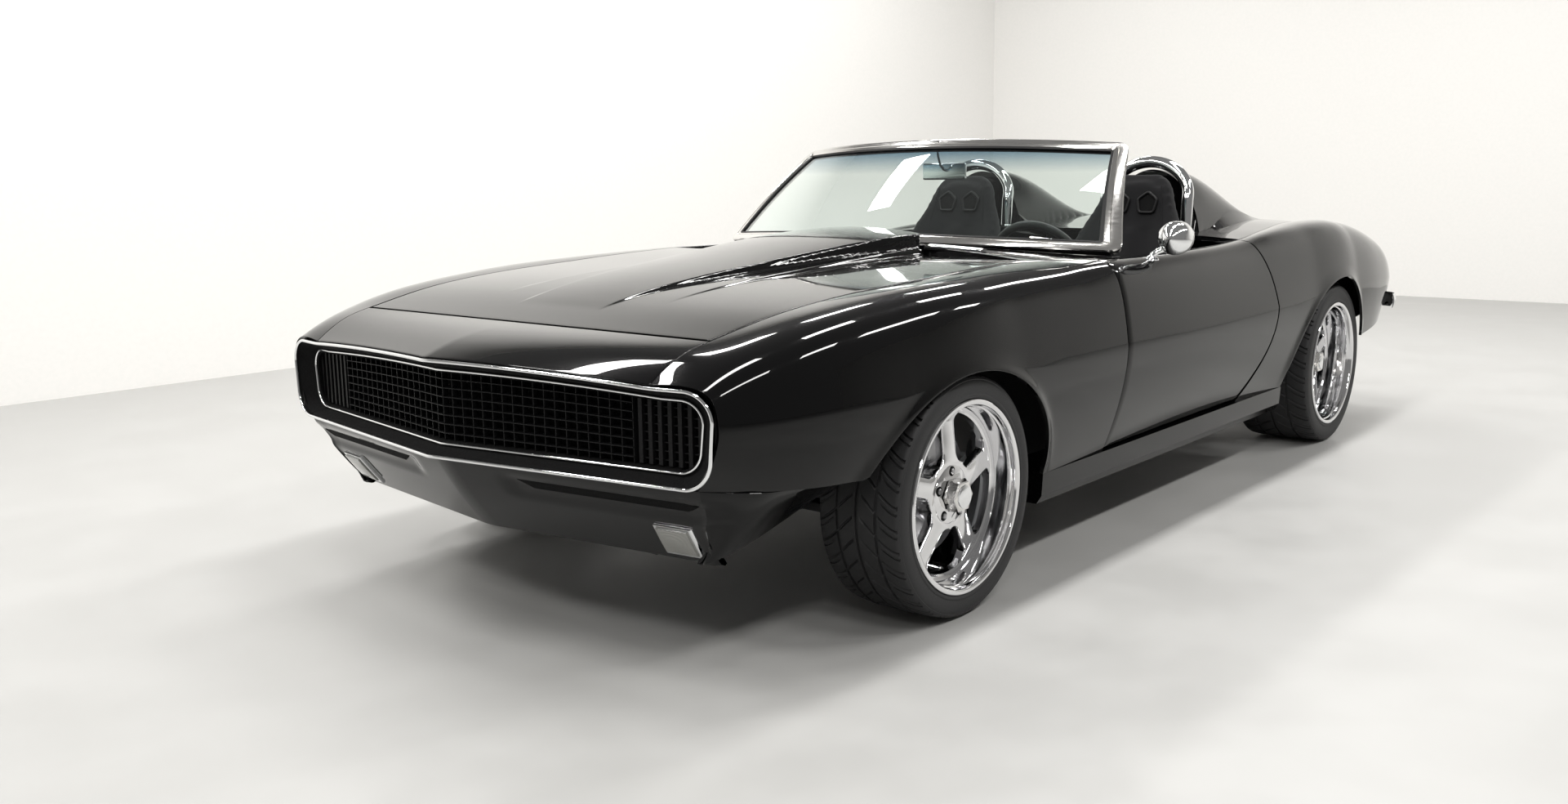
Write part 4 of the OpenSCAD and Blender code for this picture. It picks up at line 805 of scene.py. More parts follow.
def turned(name, profile, centre, made, body, slot, nodes=(), axis=(0, 0, 1), sides=48, mirrored=False,
           smooth_to=32, start=None):
    """A turned piece: (radius, height) points spun about an axis through a centre."""
    axis = Vector(axis).normalized()
    first = Vector(start) if start else axis.orthogonal().normalized()
    second = axis.cross(first)
    profile = np.asarray(profile, float)
    angle = np.linspace(0, 2 * np.pi, sides, endpoint=False)
    round_about = np.cos(angle)[:, None] * np.array(first) + np.sin(angle)[:, None] * np.array(second)
    points = (np.array(centre, float) + profile[None, :, 0:1] * round_about[:, None]
              + profile[None, :, 1:2] * np.array(axis))
    m, n = sides, len(profile)
    faces = [(i * n + k, (i + 1) % m * n + k, (i + 1) % m * n + k + 1, i * n + k + 1)
             for i in range(m) for k in range(n - 1)]
    flat = points.reshape(-1, 3)
    if np.allclose(profile[0], profile[-1]):
        keep = np.arange(len(flat)).reshape(m, n)
        keep[:, -1] = keep[:, 0]
        faces = [tuple(int(keep.ravel()[i]) for i in f) for f in faces]
    obj = mesh_piece(name, flat, faces, made, body, nodes, mirrored, smooth_to, weighted=False)
    work = bmesh.new()
    work.from_mesh(obj.data)
    bmesh.ops.remove_doubles(work, verts=work.verts, dist=1e-6)
    bmesh.ops.delete(work, geom=[v for v in work.verts if not v.link_faces], context="VERTS")
    bmesh.ops.recalc_face_normals(work, faces=work.faces)
    work.to_mesh(obj.data)
    work.free()
    obj.data.shade_smooth()
    obj.data.set_sharp_from_angle(angle=math.radians(smooth_to))
    return obj


def smooth_block(name, box, made, body, nodes=(), round_off=3.0, mirrored=False):
    """A block with well rounded edges."""
    obj = bars(name, [box], made, body, nodes, mirrored)
    work = bmesh.new()
    work.from_mesh(obj.data)
    bmesh.ops.bevel(work, geom=list(work.edges), offset=round_off * MM, segments=3, profile=0.5,
                    affect="EDGES",
                    clamp_overlap=True)
    work.to_mesh(obj.data)
    work.free()
    obj.data.shade_smooth()
    obj.data.set_sharp_from_angle(angle=math.radians(40))
    return obj


mirror_glass = grain(finish_of("mirror_silver", (0.55, 0.6, 0.58), 0.03, 1.0), 8, 0, rough=(0.02, 0.05))
smooth_block("interior_mirror_head", (118, 132, -104, 76, 1076, 1134), chrome, "body",
             ["interior_mirror"], 6)
smooth_block("interior_mirror_glass", (115.5, 119, -97, 69, 1082, 1128), mirror_glass, "body", (),
             1)
swept("interior_mirror_stem",
      [(130, 0, 1108), (150, 0, 1112), (172, 0, 1128), (186, 0, 1160), (191, 0, 1183)],
      round_section(5, 5, 12), chrome, "body", up=(0, 1, 0))
smooth_block("header_latch", (176, 214, -22, 22, 1206, 1216), chrome, "body", (), 3)

# ---- Wiper cowl trim ----
# A bright strip caps the front edge of the cowl on each side of the scoop, over a black
# vent.
for which, turn in (("left", 1), ("right", -1)):
    across = np.linspace(296, 492, 26)
    strip_x = 672 + 6 * ((across - 296) / 196) ** 2
    strip_z = top_surface(strip_x, across)
    swept(f"cowl_strip_{which}", np.stack([strip_x, turn * across, strip_z + 3], -1),
          round_section(15, 5.5, 16), chrome,
          "body")
    vent = []
    for k in range(30):
        y = blend(300, 486, k / 29)
        z = float(top_surface(700, y))
        vent.append((688, 714, turn * y - 2, turn * y + 2, z - 6, z + 1.5))
    bars(f"cowl_vent_{which}", vent, black_plastic, "body")

# ---- Wheels ----
# Polished five-spoke wheels, machined from one forging and pressed into a deep rim: a flat
# lip, a deep dish, spokes with waisted arms and a six-sided hub cap with a blank disc.
alloy = grain(finish_of("polished_alloy", (0.80, 0.80, 0.81), 0.08, 1.0), 24, 0.00001, stretch=(1, 3, 1),
              rough=(0.04, 0.11))
iron = grain(finish_of("machined_iron", (0.42, 0.42, 0.43), 0.34, 1.0), 90, 0.0001, rough=(0.28, 0.42))
caliper_paint = grain(finish_of("caliper_silver", (0.42, 0.43, 0.44), 0.4, 0.8), 200, 0.0001,
                      rough=(0.35, 0.5))
tyre_out_y, rim_r = 897, 246
wheels = {"front_left": (front_axle_x, 1, 310, 245, 62), "front_right": (front_axle_x, -1, 310, 245, 62),
          "rear_left": (rear_axle_x, 1, 320, 295, 96), "rear_right": (rear_axle_x, -1, 320, 295, 96)}
spoke_r = np.concatenate([np.linspace(26, 74, 8), np.linspace(78, 112, 12), np.linspace(118, 172, 10),
                          np.linspace(177, 222, 16)])


def spoke_half(r):
    """Half width of a spoke: full at the hub and the rim, waisted between."""
    full = r * math.tan(math.pi / 5)
    waist = 21 + 7 * ((r - 140) / 60) ** 2
    hub = 62 - np.sqrt(np.clip(34 ** 2 - (np.clip(r, 74, 108) - 108) ** 2, 0, None))
    rim = np.where(r > 182, 150 * np.clip((r - 182) / 40, 0, 1) ** 2.2, 0)
    return np.minimum(full, np.where(r < 74, 400, np.maximum(waist, hub) + rim))


for name, (axle_x, turn, height, width, dish) in wheels.items():
    body, centre = "wheel_" + name, (axle_x, turn * tyre_out_y, height)
    barrel = [(rim_r, 0.5), (rim_r + 1.5, 3), (rim_r + 0.5, 7), (rim_r - 13, 9), (rim_r - 16, width * 0.5),
              (rim_r - 16, width - 12),
              (rim_r - 3, width - 8), (rim_r - 3, width - 4), (rim_r - 22, width - 4),
              (rim_r - 24, dish + 46),
              (rim_r - 22, dish + 30), (rim_r - 22, dish + 12), (rim_r - 21, 26), (rim_r - 19.5, 20),
              (rim_r - 16, 17),
              (rim_r - 14.5, 12), (rim_r - 13.5, 5), (rim_r - 12, 2), (rim_r - 8, 0), (rim_r - 2, -0.5),
              (rim_r, 0.5)]
    turned(f"rim_{name}", barrel, centre, alloy, body, "polished_alloy", [f"wheel_{name}"], (0, -turn, 0),
           144,
           smooth_to=28)
    points, faces = [], []
    half = spoke_half(spoke_r)
    open_here = np.clip(1 - (half / (spoke_r * math.tan(math.pi / 5))) ** 6, 0, 1)
    crest = dish - 6 + 10 * ease((spoke_r - 60) / 150) + 8 * ease((spoke_r
                                                                   - 185) / 40) - 6 * ease((70
                                                                                            - spoke_r) / 40)
    lanes = np.array([-1, -0.94, -0.86, -0.5, 0, 0.5, 0.86, 0.94, 1])
    drop = np.array([7.0, 2.4, 0, -2.2, -3, -2.2, 0, 2.4, 7.0])
    for k in range(5):
        mid = math.radians(72 * k + 90)
        for r, w, free, z in zip(spoke_r, half, open_here, crest):
            ring = [(lane * w, z + fall * free) for lane, fall in zip(lanes, drop)]
            ring += [(w * 0.97, z + 26), (0, z + 30), (-w * 0.97, z + 26)]
            for across, deep in ring:
                u, v = math.cos(mid) * r - math.sin(mid) * across, math.sin(mid) * r + math.cos(mid) * across
                points.append((centre[0] + u, centre[1] - turn * deep, centre[2] + v))
        n, start = len(lanes) + 3, k * len(spoke_r) * (len(lanes) + 3)
        for i in range(len(spoke_r) - 1):
            faces += [(start + i * n + j, start + i * n + (j + 1) % n, start + (i + 1) * n + (j + 1) % n,
                       start + (i + 1) * n + j) for j in range(n)]
        faces += [tuple(start + j for j in range(n)),
                  tuple(start + (len(spoke_r) - 1) * n + j for j in range(n - 1, -1, -1))]
    if turn > 0:
        faces = [tuple(reversed(f)) for f in faces]
    mesh_piece(f"spokes_{name}", points, faces, alloy, body, smooth_to=30)
    # the inner ring that the spokes stand on, and the hub; its bolt pockets are flat dull black discs,
    # painted shade
    turned(f"spoke_ring_{name}",
           [(205, dish + 26), (207, dish + 8), (212, dish + 4), (222, dish + 3), (226, dish + 8),
                                  (226, dish + 26), (205, dish + 26)], centre, alloy, body, "polished_alloy",
           (), (0, -turn, 0), 120)
    turned(f"hub_{name}", [(0, dish - 9), (70, dish - 9), (74, dish - 7), (77, dish - 2), (78, dish + 44),
                           (34, dish + 46), (33, dish + 12), (0, dish + 11)], centre, alloy, body,
           "polished_alloy", (),
           (0, -turn, 0), 80)
    hexagon = [(0, dish - 14), (46, dish - 14), (45, dish - 18), (42, dish - 42), (39, dish - 46),
               (32, dish - 47), (0, dish - 47)]
    turned(f"hub_cap_{name}", hexagon, centre, stainless, body, "polished_alloy", (),
           (0, -turn, 0), 6, smooth_to=20, start=(1, 0, 0))
    turned(f"hub_disc_{name}",
           [(0, dish - 51), (26, dish - 51), (29.5, dish - 49.5), (30.5, dish - 46), (0, dish - 46)], centre,
           chrome, body, "chrome", (), (0, -turn, 0), 48)
    for k in range(5):
        a = math.radians(72 * k + 90)
        spot = (centre[0] + 60 * math.cos(a), centre[1], centre[2] + 60 * math.sin(a))
        turned(f"bolt_{name}_{k}",
               [(0, dish - 14), (6, dish - 14), (8, dish - 12), (8, dish - 8), (0, dish - 8)], spot,
               iron, body, "chrome", (), (0, -turn, 0), 6, smooth_to=20)
        # a thin dull black disc round each bolt stands in for the shade in its pocket, which is not cut:
        # painted shade
        turned(f"bolt_pocket_shade_{name}_{k}", [(0, dish - 9.5), (12.5, dish - 9.5), (13, dish - 9),
                                           (13, dish - 8), (0, dish - 8)], spot, dull_black, body,
               "engine_metal", (), (0, -turn, 0), 28)
    # slotted brake disc on its bell, turning with the wheel
    disc = [(78, dish + 60), (163, dish + 60), (165, dish + 61), (165, dish + 67), (160, dish + 68),
            (160, dish + 74),
            (165, dish + 75), (165, dish + 82), (163, dish + 83), (60, dish + 83), (60, dish + 46),
            (76, dish + 46), (78, dish + 60)]
    turned(f"brake_disc_{name}", disc, centre, iron, body, "polished_alloy", (), (0, -turn, 0), 96)
    # caliper over the rear of the disc, held by the axle or the knuckle
    arc = np.radians(np.linspace(158, 214, 15))
    profile = [(112, dish + 55), (178, dish + 55), (186, dish + 62), (186, dish + 84), (178, dish + 90),
               (112, dish + 90),
               (112, dish + 85.5), (169, dish + 85.5), (169, dish + 57.5), (112, dish + 57.5)]
    points, n = [], len(profile)
    for a in arc:
        points += [(centre[0] + r * math.cos(a), centre[1] - turn * y, centre[2] + r * math.sin(a)) for r,
                   y in profile]
    faces = [(i * n + j, i * n + (j + 1) % n, (i + 1) * n + (j + 1) % n, (i + 1) * n + j)
             for i in range(len(arc) - 1) for j in range(n)]
    faces += [tuple(range(n - 1, -1, -1)), tuple((len(arc) - 1) * n + j for j in range(n))]
    if turn < 0:
        faces = [tuple(reversed(f)) for f in faces]
    holder = {"front_left": "knuckle_left", "front_right": "knuckle_right"}.get(name, "body")
    mesh_piece(f"caliper_{name}", points, faces, caliper_paint, holder, smooth_to=30)

# ---- Tyres ----
# Wide low tyres with a directional tread: grooves sweep from the middle to the shoulders
# in arcs, between three grooves that run right round.
rubber = grain(finish_of("tyre_rubber", (0.016, 0.016, 0.017), 0.62), 260, 0.0002, rough=(0.52, 0.74),
               tint=((0.013, 0.013, 0.014), (0.022, 0.022, 0.023)))
for name, (axle_x, turn, height, width, dish) in wheels.items():
    outer_r = height - 0.3
    pitch_count = 34
    wall = [(rim_r - 14, 9.6), (rim_r + 1, 8), (rim_r + 2.5, 4), (rim_r + 5, 1.5), (rim_r + 9, 0.2),
            (rim_r + 12, 0.6), (rim_r + 14, 2),
            (rim_r + 18, 1.2), (outer_r - 34, 0.3), (outer_r - 24, 1), (outer_r - 17, 3.2),
            (outer_r - 15, 4.6), (outer_r - 13, 4.2),
            (outer_r - 8, 8)]
    inner_wall = [(r, width - d) for r, d in wall[::-1]]
    inner_wall[-1] = (rim_r - 16, width - 12.5)
    s = np.concatenate([np.linspace(0, 14, 5), [15, 17, 19]])
    tread_y = np.unique(np.concatenate([np.linspace(11, width - 11, 41),
                                        [width / 2 - 4.5, width / 2 - 3.5, width / 2 + 3.5, width / 2 + 4.5],
                                        [width * 0.27 - 5, width * 0.27 - 4, width * 0.27 + 4,
                                         width * 0.27 + 5],
                                        [width * 0.73 - 5, width * 0.73 - 4, width * 0.73 + 4,
                                         width * 0.73 + 5]]))
    tread_r = outer_r - 5.5 * (np.abs(tread_y - width / 2) / (width / 2 - 11)) ** 5
    profile_y = np.concatenate([[d for _, d in wall], tread_y, [d for _, d in inner_wall]])
    profile_r = np.concatenate([[r for r, _ in wall], tread_r, [r for r, _ in inner_wall]])
    on_tread = np.concatenate([np.zeros(len(wall)), np.ones(len(tread_y)), np.zeros(len(inner_wall))])
    ring_groove = np.zeros(len(profile_y))
    for middle, half_gap in ((0.5, 3.6), (0.27, 4.1), (0.73, 4.1)):
        ring_groove = np.maximum(ring_groove, (np.abs(profile_y - width * middle) < half_gap) * 1.0)
    columns_at = np.array([0, 0.06, 0.075, 0.30, 0.315, 0.52, 0.64, 0.655, 0.74, 0.755, 0.9])
    column_deep = np.array([1, 1, 0, 0, 0, 0, 0, 0.6, 0.6, 0, 0])
    phase = (np.arange(pitch_count)[:, None] + columns_at[None, :]).ravel() / pitch_count * 2 * np.pi
    deep_at = np.tile(column_deep, pitch_count)
    reach = np.clip(np.abs(profile_y - width / 2) / (width / 2), 0, 1)
    sweep = -turn * 0.62 * np.sin(reach * 1.45) ** 1.3 * on_tread
    tail_sweep = -turn * 0.62 * math.sin(1.45) ** 1.3
    sweep = np.where(on_tread > 0, sweep, tail_sweep * 0.94)
    lateral = np.where(reach > 0.1, 1, 0) * on_tread
    fine = np.where(reach > 0.55, 1, 0) * on_tread
    depth_grid = np.maximum(ring_groove[None, :], np.where(deep_at[:, None] == 1, lateral[None, :], 0)
                            + np.where(deep_at[:, None] == 0.6, 0.6 * fine[None, :], 0))
    radius = profile_r[None, :] - 5.5 * depth_grid
    angle = phase[:, None] + sweep[None, :] * 0.45
    points = np.stack([axle_x + radius * np.cos(angle),
                       np.broadcast_to(turn * (tyre_out_y - profile_y), radius.shape),
                       height + radius * np.sin(angle)], -1)
    m, n = radius.shape
    faces = []
    for i in range(m):
        a, b = i * n, (i + 1) % m * n
        faces += [(a + k, a + (k + 1) % n, b + (k + 1) % n, b + k) for k in range(n)]
    if turn < 0:
        faces = [tuple(reversed(f)) for f in faces]
    mesh_piece(f"tyre_rubber_{name}", points, faces, rubber, "wheel_" + name,
               [f"tyre_{name}"],
               smooth_to=35, weighted=False)

# ---- Door mirror ----
# A bullet mirror on the driver's side only: a turned chrome shell on a short leaning
# stalk, with an oval foot on the door.
head = (255, 908, 899)
aim = (math.cos(math.radians(-12)), math.sin(math.radians(12)), 0)
shell = [(0, -34), (46, -34), (47.5, -37), (50, -38), (52, -36), (52, -12)] + [
    (52 * math.cos(math.radians(a)), -10 + 76 * math.sin(math.radians(a))) for a in range(4, 91, 6)]
turned("mirror_shell", shell, head, chrome, "door_left", "chrome", ["door_mirror"], aim, 72, smooth_to=50)
turned("mirror_glass", [(0, -36), (44, -36), (45, -35), (0, -34)], head, mirror_glass, "door_left", "chrome",
       (), aim, 48)
foot_z = float(np.interp(846, side(np.full(60, 284.0), np.linspace(0, 0.6, 60))[:, 1],
                         side(np.full(60, 284.0), np.linspace(0, 0.6, 60))[:, 2]))
stalk = [(284, 848, foot_z + 6), (282, 852, foot_z + 16), (277, 864, foot_z + 26), (270, 880, foot_z + 32),
         (262, 896, foot_z + 38)]
swept("mirror_stalk", stalk, round_section(8, 10, 16), chrome, "door_left", up=(0, 1, 0))
foot = [(0, foot_z + 14), (9, foot_z + 13), (16, foot_z + 9), (21, foot_z + 4), (23, foot_z - 1),
        (0, foot_z - 1)]
turned("mirror_foot", [(r, z - foot_z) for r, z in foot], (284, 848, foot_z), chrome, "door_left", "chrome",
       (),
       (0, 0, 1), 40)

# ---- Roll hoops ----
# Two bright tubular hoops, bolted to the cover in front of the fairings through round
# flanges.
hoop_r, hoop_x, hoop_y, hoop_half = 22, -650, 385, 166
for which, turn in (("left", 1), ("right", -1)):
    y_in, y_out = turn * hoop_y - hoop_half, turn * hoop_y + hoop_half
    arc = np.radians(np.linspace(180, 0, 41))
    path = [(hoop_x, y_in, float(deck(hoop_x, y_in)) + h) for h in (1.5, 14, 30, 60)]
    path = [p for p in path if p[2] < 985]
    path += [(hoop_x - 46 * (0.35 + 0.65 * math.sin(a)) * ease(math.sin(a) * 3 + 0.3),
              turn * hoop_y + hoop_half * math.cos(a),
              990 + 142 * math.sin(a)) for a in arc]
    path += [(hoop_x, y_out, float(deck(hoop_x, y_out)) + h) for h in (60, 30, 14, 1.5)]
    path = np.array(path, float)
    for _ in range(6):
        path[1:-1, 0] = path[1:-1, 0] * 0.5 + (path[:-2, 0] + path[2:, 0]) * 0.25
    nodes = ["roll_hoops"] if turn > 0 else ()
    swept(f"roll_hoop_{which}", path, round_section(hoop_r, hoop_r, 24), chrome, "body", nodes,
          up=(1, 0, 0))
    for k, y in enumerate((y_in, y_out)):
        z = float(deck(hoop_x, y))
        turned(f"hoop_flange_{which}_{k}",
               [(hoop_r, 8), (hoop_r + 5, 7), (hoop_r + 11, 5), (hoop_r + 12, 1), (hoop_r + 11, -3),
                (hoop_r, -3), (hoop_r, 8)],
               (hoop_x, y, z), chrome, "body", "chrome", (), (0, 0, 1), 40)

# ---- Rear trim ----
# Red lamps in three cells with bright frames, a filler cap between them, and a slim chrome
# bumper that wraps round the corners.
red_glass = grain(finish_of("red_lens", (0.28, 0.006, 0.008), 0.12, Coat_Weight=1.0), 130, 0.0005,
                  kind="WAVE",
                  tint=((0.16, 0.003, 0.004), (0.34, 0.01, 0.012)))
tail_x = -2290 - 0.3 - 18
tail_seam_x = -2289.99
half_t = np.linspace(2, 0, 60)
rim_line = side(np.full(60, tail_seam_x), half_t)[:, 1:]
top_half = np.linspace(0.97, -0.97, 30) * rim_line[-1, 0]
outline = np.concatenate([rim_line, np.stack([top_half, top_surface(tail_seam_x, top_half)], -1),
                          rim_line[::-1] * (-1, 1),
                          [(-560, 330), (560, 330)]])
points = np.concatenate([np.column_stack([np.full(len(outline), x), outline]) for x in (-2290.3, tail_x)])
c = len(outline)
faces = [tuple(range(c)),
         tuple(range(2 * c - 1, c - 1, -1))] + [(i, c + i, c + (i + 1) % c, (i + 1) % c) for i in range(c)]
tail = mesh_piece("tail_panel_skin", points, faces, paint, "body", ["tail_panel"], smooth_to=30)
tail.modifiers.new("rolled_edge", "BEVEL").width = 0.003
for which, turn in (("left", 1), ("right", -1)):
    for k in range(3):
        y0 = 384 + 104 * k
        nodes = ["tail_lamps"] if turn > 0 and k == 0 else ()
        ys = sorted((turn * y0, turn * (y0 + 94)))
        smooth_block(f"tail_lens_{which}_{k}", (tail_x - 13, tail_x + 1, *ys, 570, 658), red_glass, "body",
                     nodes, 5)
        corners = [(ys[0] - 3, 567), (ys[1] + 3, 567), (ys[1] + 3, 661), (ys[0] - 3, 661)]
        frame_path = []
        for (ya, za), (yb, zb) in zip(corners, corners[1:] + corners[:1]):
            frame_path += [(tail_x - 2, blend(ya, yb, s), blend(za, zb, s))
                           for s in (0.03, 0.1, 0.5, 0.9, 0.97)]
        swept(f"tail_frame_{which}_{k}", frame_path, round_section(3, 4, 8), chrome, "body", (),
              True, (1, 0, 0))
turned("fuel_cap", [(0, 16), (30, 15), (36, 11), (38, 4), (44, 3), (46, 0), (0, 0)], (tail_x, 0, 614),
       chrome, "body", "chrome",
       (), (-1, 0, 0), 64)
bumper_line = np.concatenate([[(-2203, -876), (-2230, -873), (-2256, -868), (-2280, -857), (-2300, -838),
                               (-2314, -812)],
                              np.stack([-2334 + 17 * np.linspace(-0.97, 0.97, 50) ** 4,
                                        800 * np.linspace(-0.97, 0.97, 50)], -1),
                              [(-2314, 812), (-2300, 838), (-2280, 857), (-2256, 868), (-2230, 873),
                               (-2203, 876)]])
bumper_path = np.column_stack([bumper_line, np.full(len(bumper_line), 500.0)])
bumper_section = [(5 - 8 * abs(t) ** 2.2, 33 * t)
                  for t in np.linspace(-1, 1, 17)] + [(-4, 26), (-2, 10), (-2, -10), (-4, -26)]
swept("rear_bumper_bar", bumper_path[::-1], bumper_section, chrome, "body", ["rear_bumper"],
      smooth_to=50)
for turn in (-1, 1):
    side_name = "left" if turn > 0 else "right"
    smooth_block(f"bumper_bracket_{side_name}",
                 (-2330, tail_x + 1, *sorted((turn * 420, turn * 460)), 482, 518), iron, "body",
                 (), 3)

# ---- Seats ----
# Bucket seats with deep side wings, foam over a moulded shell, covered in black suede.
# Two five-sided openings in the head rest, with plastic rims, let a harness through; a dull black plug
# inside each rim is painted shade for the opening, which is not cut.
suede = finish_of("black_suede", (0.012, 0.012, 0.013), 0.95, Sheen_Weight=0.06, Sheen_Roughness=0.5,
                     Specular_IOR_Level=0.2)
grain(suede, 900, 0.0003, detail=4.0, tint=((0.007, 0.007, 0.008), (0.012, 0.012, 0.013)))
seat_y = 385


def stuffed(obj, voxel=0.0125, cap=0.007):
    """Swells a sewn cover over its foam with a short cloth simulation, and keeps the result."""
    bpy.context.view_layer.objects.active = obj
    obj.select_set(True)
    remesh = obj.modifiers.new("even_mesh", "REMESH")
    remesh.mode, remesh.voxel_size = "VOXEL", voxel
    bpy.ops.object.modifier_apply(modifier="even_mesh")
    before = np.array([v.co for v in obj.data.vertices])
    cloth = obj.modifiers.new("swell", "CLOTH")
    cloth.settings.use_pressure = True
    cloth.settings.uniform_pressure_force = 4
    cloth.settings.effector_weights.gravity = 0
    cloth.settings.quality = 4
    scene = bpy.context.scene
    for step in range(1, 13):
        scene.frame_set(step)
    done = obj.evaluated_get(bpy.context.evaluated_depsgraph_get()).data
    after = np.array([v.co for v in done.vertices])
    obj.modifiers.remove(cloth)
    scene.frame_set(1)
    move = after - before
    far = np.linalg.norm(move, axis=1, keepdims=True)
    after = before + move * np.minimum(1, cap / np.maximum(far, 1e-9))
    obj.data.vertices.foreach_set("co", after.astype(np.float32).ravel())
    obj.select_set(False)
    obj.data.shade_smooth()
    obj.modifiers.new("soften", "SUBSURF").render_levels = 1
    return obj


def loft(name, rings, made, body, nodes=(), mirrored=False):
    """A closed form through rings of points of the same number."""
    rings = np.asarray(rings, float)
    m, n = rings.shape[:2]
    points = np.concatenate([rings.reshape(-1, 3), [rings[0].mean(0), rings[-1].mean(0)]])
    faces = [(i * n + k, i * n + (k + 1) % n, (i + 1) * n + (k + 1) % n, (i + 1) * n + k)
             for i in range(m - 1) for k in range(n)]
    faces += [(m * n, (k + 1) % n, k) for k in range(n)]
    faces += [(m * n + 1, (m - 1) * n + k, (m - 1) * n + (k + 1) % n) for k in range(n)]
    obj = mesh_piece(name, points, faces, made, body, nodes, mirrored, 60, weighted=False)
    work = bmesh.new()
    work.from_mesh(obj.data)
    bmesh.ops.recalc_face_normals(work, faces=work.faces)
    work.to_mesh(obj.data)
    work.free()
    return obj


lane = np.linspace(-0.97, 0.97, 27)
back_front_x = drawn([[400, -330], [500, -385], [930, -552], [1070, -585], [1095, -600]], 20)
back_rear_x = drawn([[400, -472], [560, -528], [1000, -618], [1070, -630], [1095, -620]], 20)
back_half = drawn([[400, 196], [520, 226], [700, 236], [820, 222], [900, 196], [960, 166], [1020, 142],
                   [1060, 122], [1082, 98],
                   [1095, 70]], 10)
back_wing = drawn([[400, 50], [520, 88], [700, 92], [820, 66], [900, 34], [980, 16], [1095, 2]], 20)


def back_ring(z):
    half, wing = float(back_half(z)), float(back_wing(z))
    front, rear = float(back_front_x(z)), float(back_rear_x(z))
    face = [(front + wing * abs(w) ** 3.2 + 6 * math.cos(w * 9.4) * (1 - abs(w)) * (z < 880), half * w)
            for w in lane]
    behind = [(rear + 0.75 * wing * abs(w) ** 2.2, half * w) for w in lane[::-1]]
    edge_x = (face[-1][0] + behind[0][0]) / 2
    ring = face + [(edge_x, half)] + behind + [(edge_x, -half)]
    return [(x, seat_y + y, z) for x, y in ring]


base_top = drawn([[-470, 372], [-300, 366], [-100, 384], [60, 412], [100, 404], [112, 385]], 16)
base_half = drawn([[-470, 196], [-300, 222], [60, 226], [112, 205]], 20)


def base_wing(x):
    """Height of the cushion's side wings."""
    return 58 * float(ease((x + 480) / 120)) * (1 - 0.55 * float(ease((x - 20) / 90)))


def base_ring(x):
    half, top = float(base_half(x)), float(base_top(x))
    wing = base_wing(x)
    face = [(top + wing * abs(w) ** 3.4 + 5 * math.cos(w * 9.4) * (1 - abs(w)), half * w) for w in lane]
    low = [(250 + 18 * abs(w) ** 4, half * 0.94 * w) for w in lane[::-1]]
    ring = face + [(blend(face[-1][0], low[0][0], 0.5),
                    half)] + low + [(blend(face[0][0], low[-1][0], 0.5), -half)]
    return [(x, seat_y + y, z) for z, y in ring]


back_levels = np.concatenate([np.linspace(402, 1040, 40), [1056, 1070, 1080, 1087, 1091]])
base_levels = np.concatenate([[-470], np.linspace(-460, 90, 36), [99, 106, 110]])
finished = {}
for part, rings in (("back", [back_ring(z) for z in back_levels]),
                    ("base", [base_ring(x) for x in base_levels])):
    nodes = ["seat_left"] if part == "back" else ()
    finished[part] = stuffed(loft(f"seat_{part}_left", rings, suede, "body", nodes))
    twin = finished[part].copy()
    twin.data = finished[part].data.copy()
    twin.name = f"seat_{part}_right"
    bpy.context.scene.collection.objects.link(twin)
    work = bmesh.new()
    work.from_mesh(twin.data)
    for v in work.verts:
        v.co.y = -v.co.y
    bmesh.ops.reverse_faces(work, faces=work.faces)
    work.to_mesh(twin.data)
    work.free()
    if "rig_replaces" in twin:
        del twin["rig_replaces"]
    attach(twin, "body")
    if part == "back":
        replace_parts(twin, "seat_right")


def on_back(y, z, lift=3.0):
    half, wing = float(back_half(z)), float(back_wing(z))
    w = y / half
    return (float(back_front_x(z)) + wing * abs(w) ** 3.2 + lift, seat_y + y, z)


def smooth_path(corners, per=10, closed=True):
    """A path through corners with its corners rounded a little."""
    pts = np.asarray(corners, float)
    dense = []
    m = len(pts)
    for i in range(m if closed else m - 1):
        a, b = pts[i], pts[(i + 1) % m]
        dense += [blend(a, b, k / per) for k in range(per)]
    if not closed:
        dense.append(pts[-1])
    dense = np.array(dense)
    for _ in range(5):
        if closed:
            dense = dense * 0.5 + (np.roll(dense, 1, 0) + np.roll(dense, -1, 0)) * 0.25
        else:
            dense[1:-1] = dense[1:-1] * 0.5 + (dense[:-2] + dense[2:]) * 0.25
    return dense


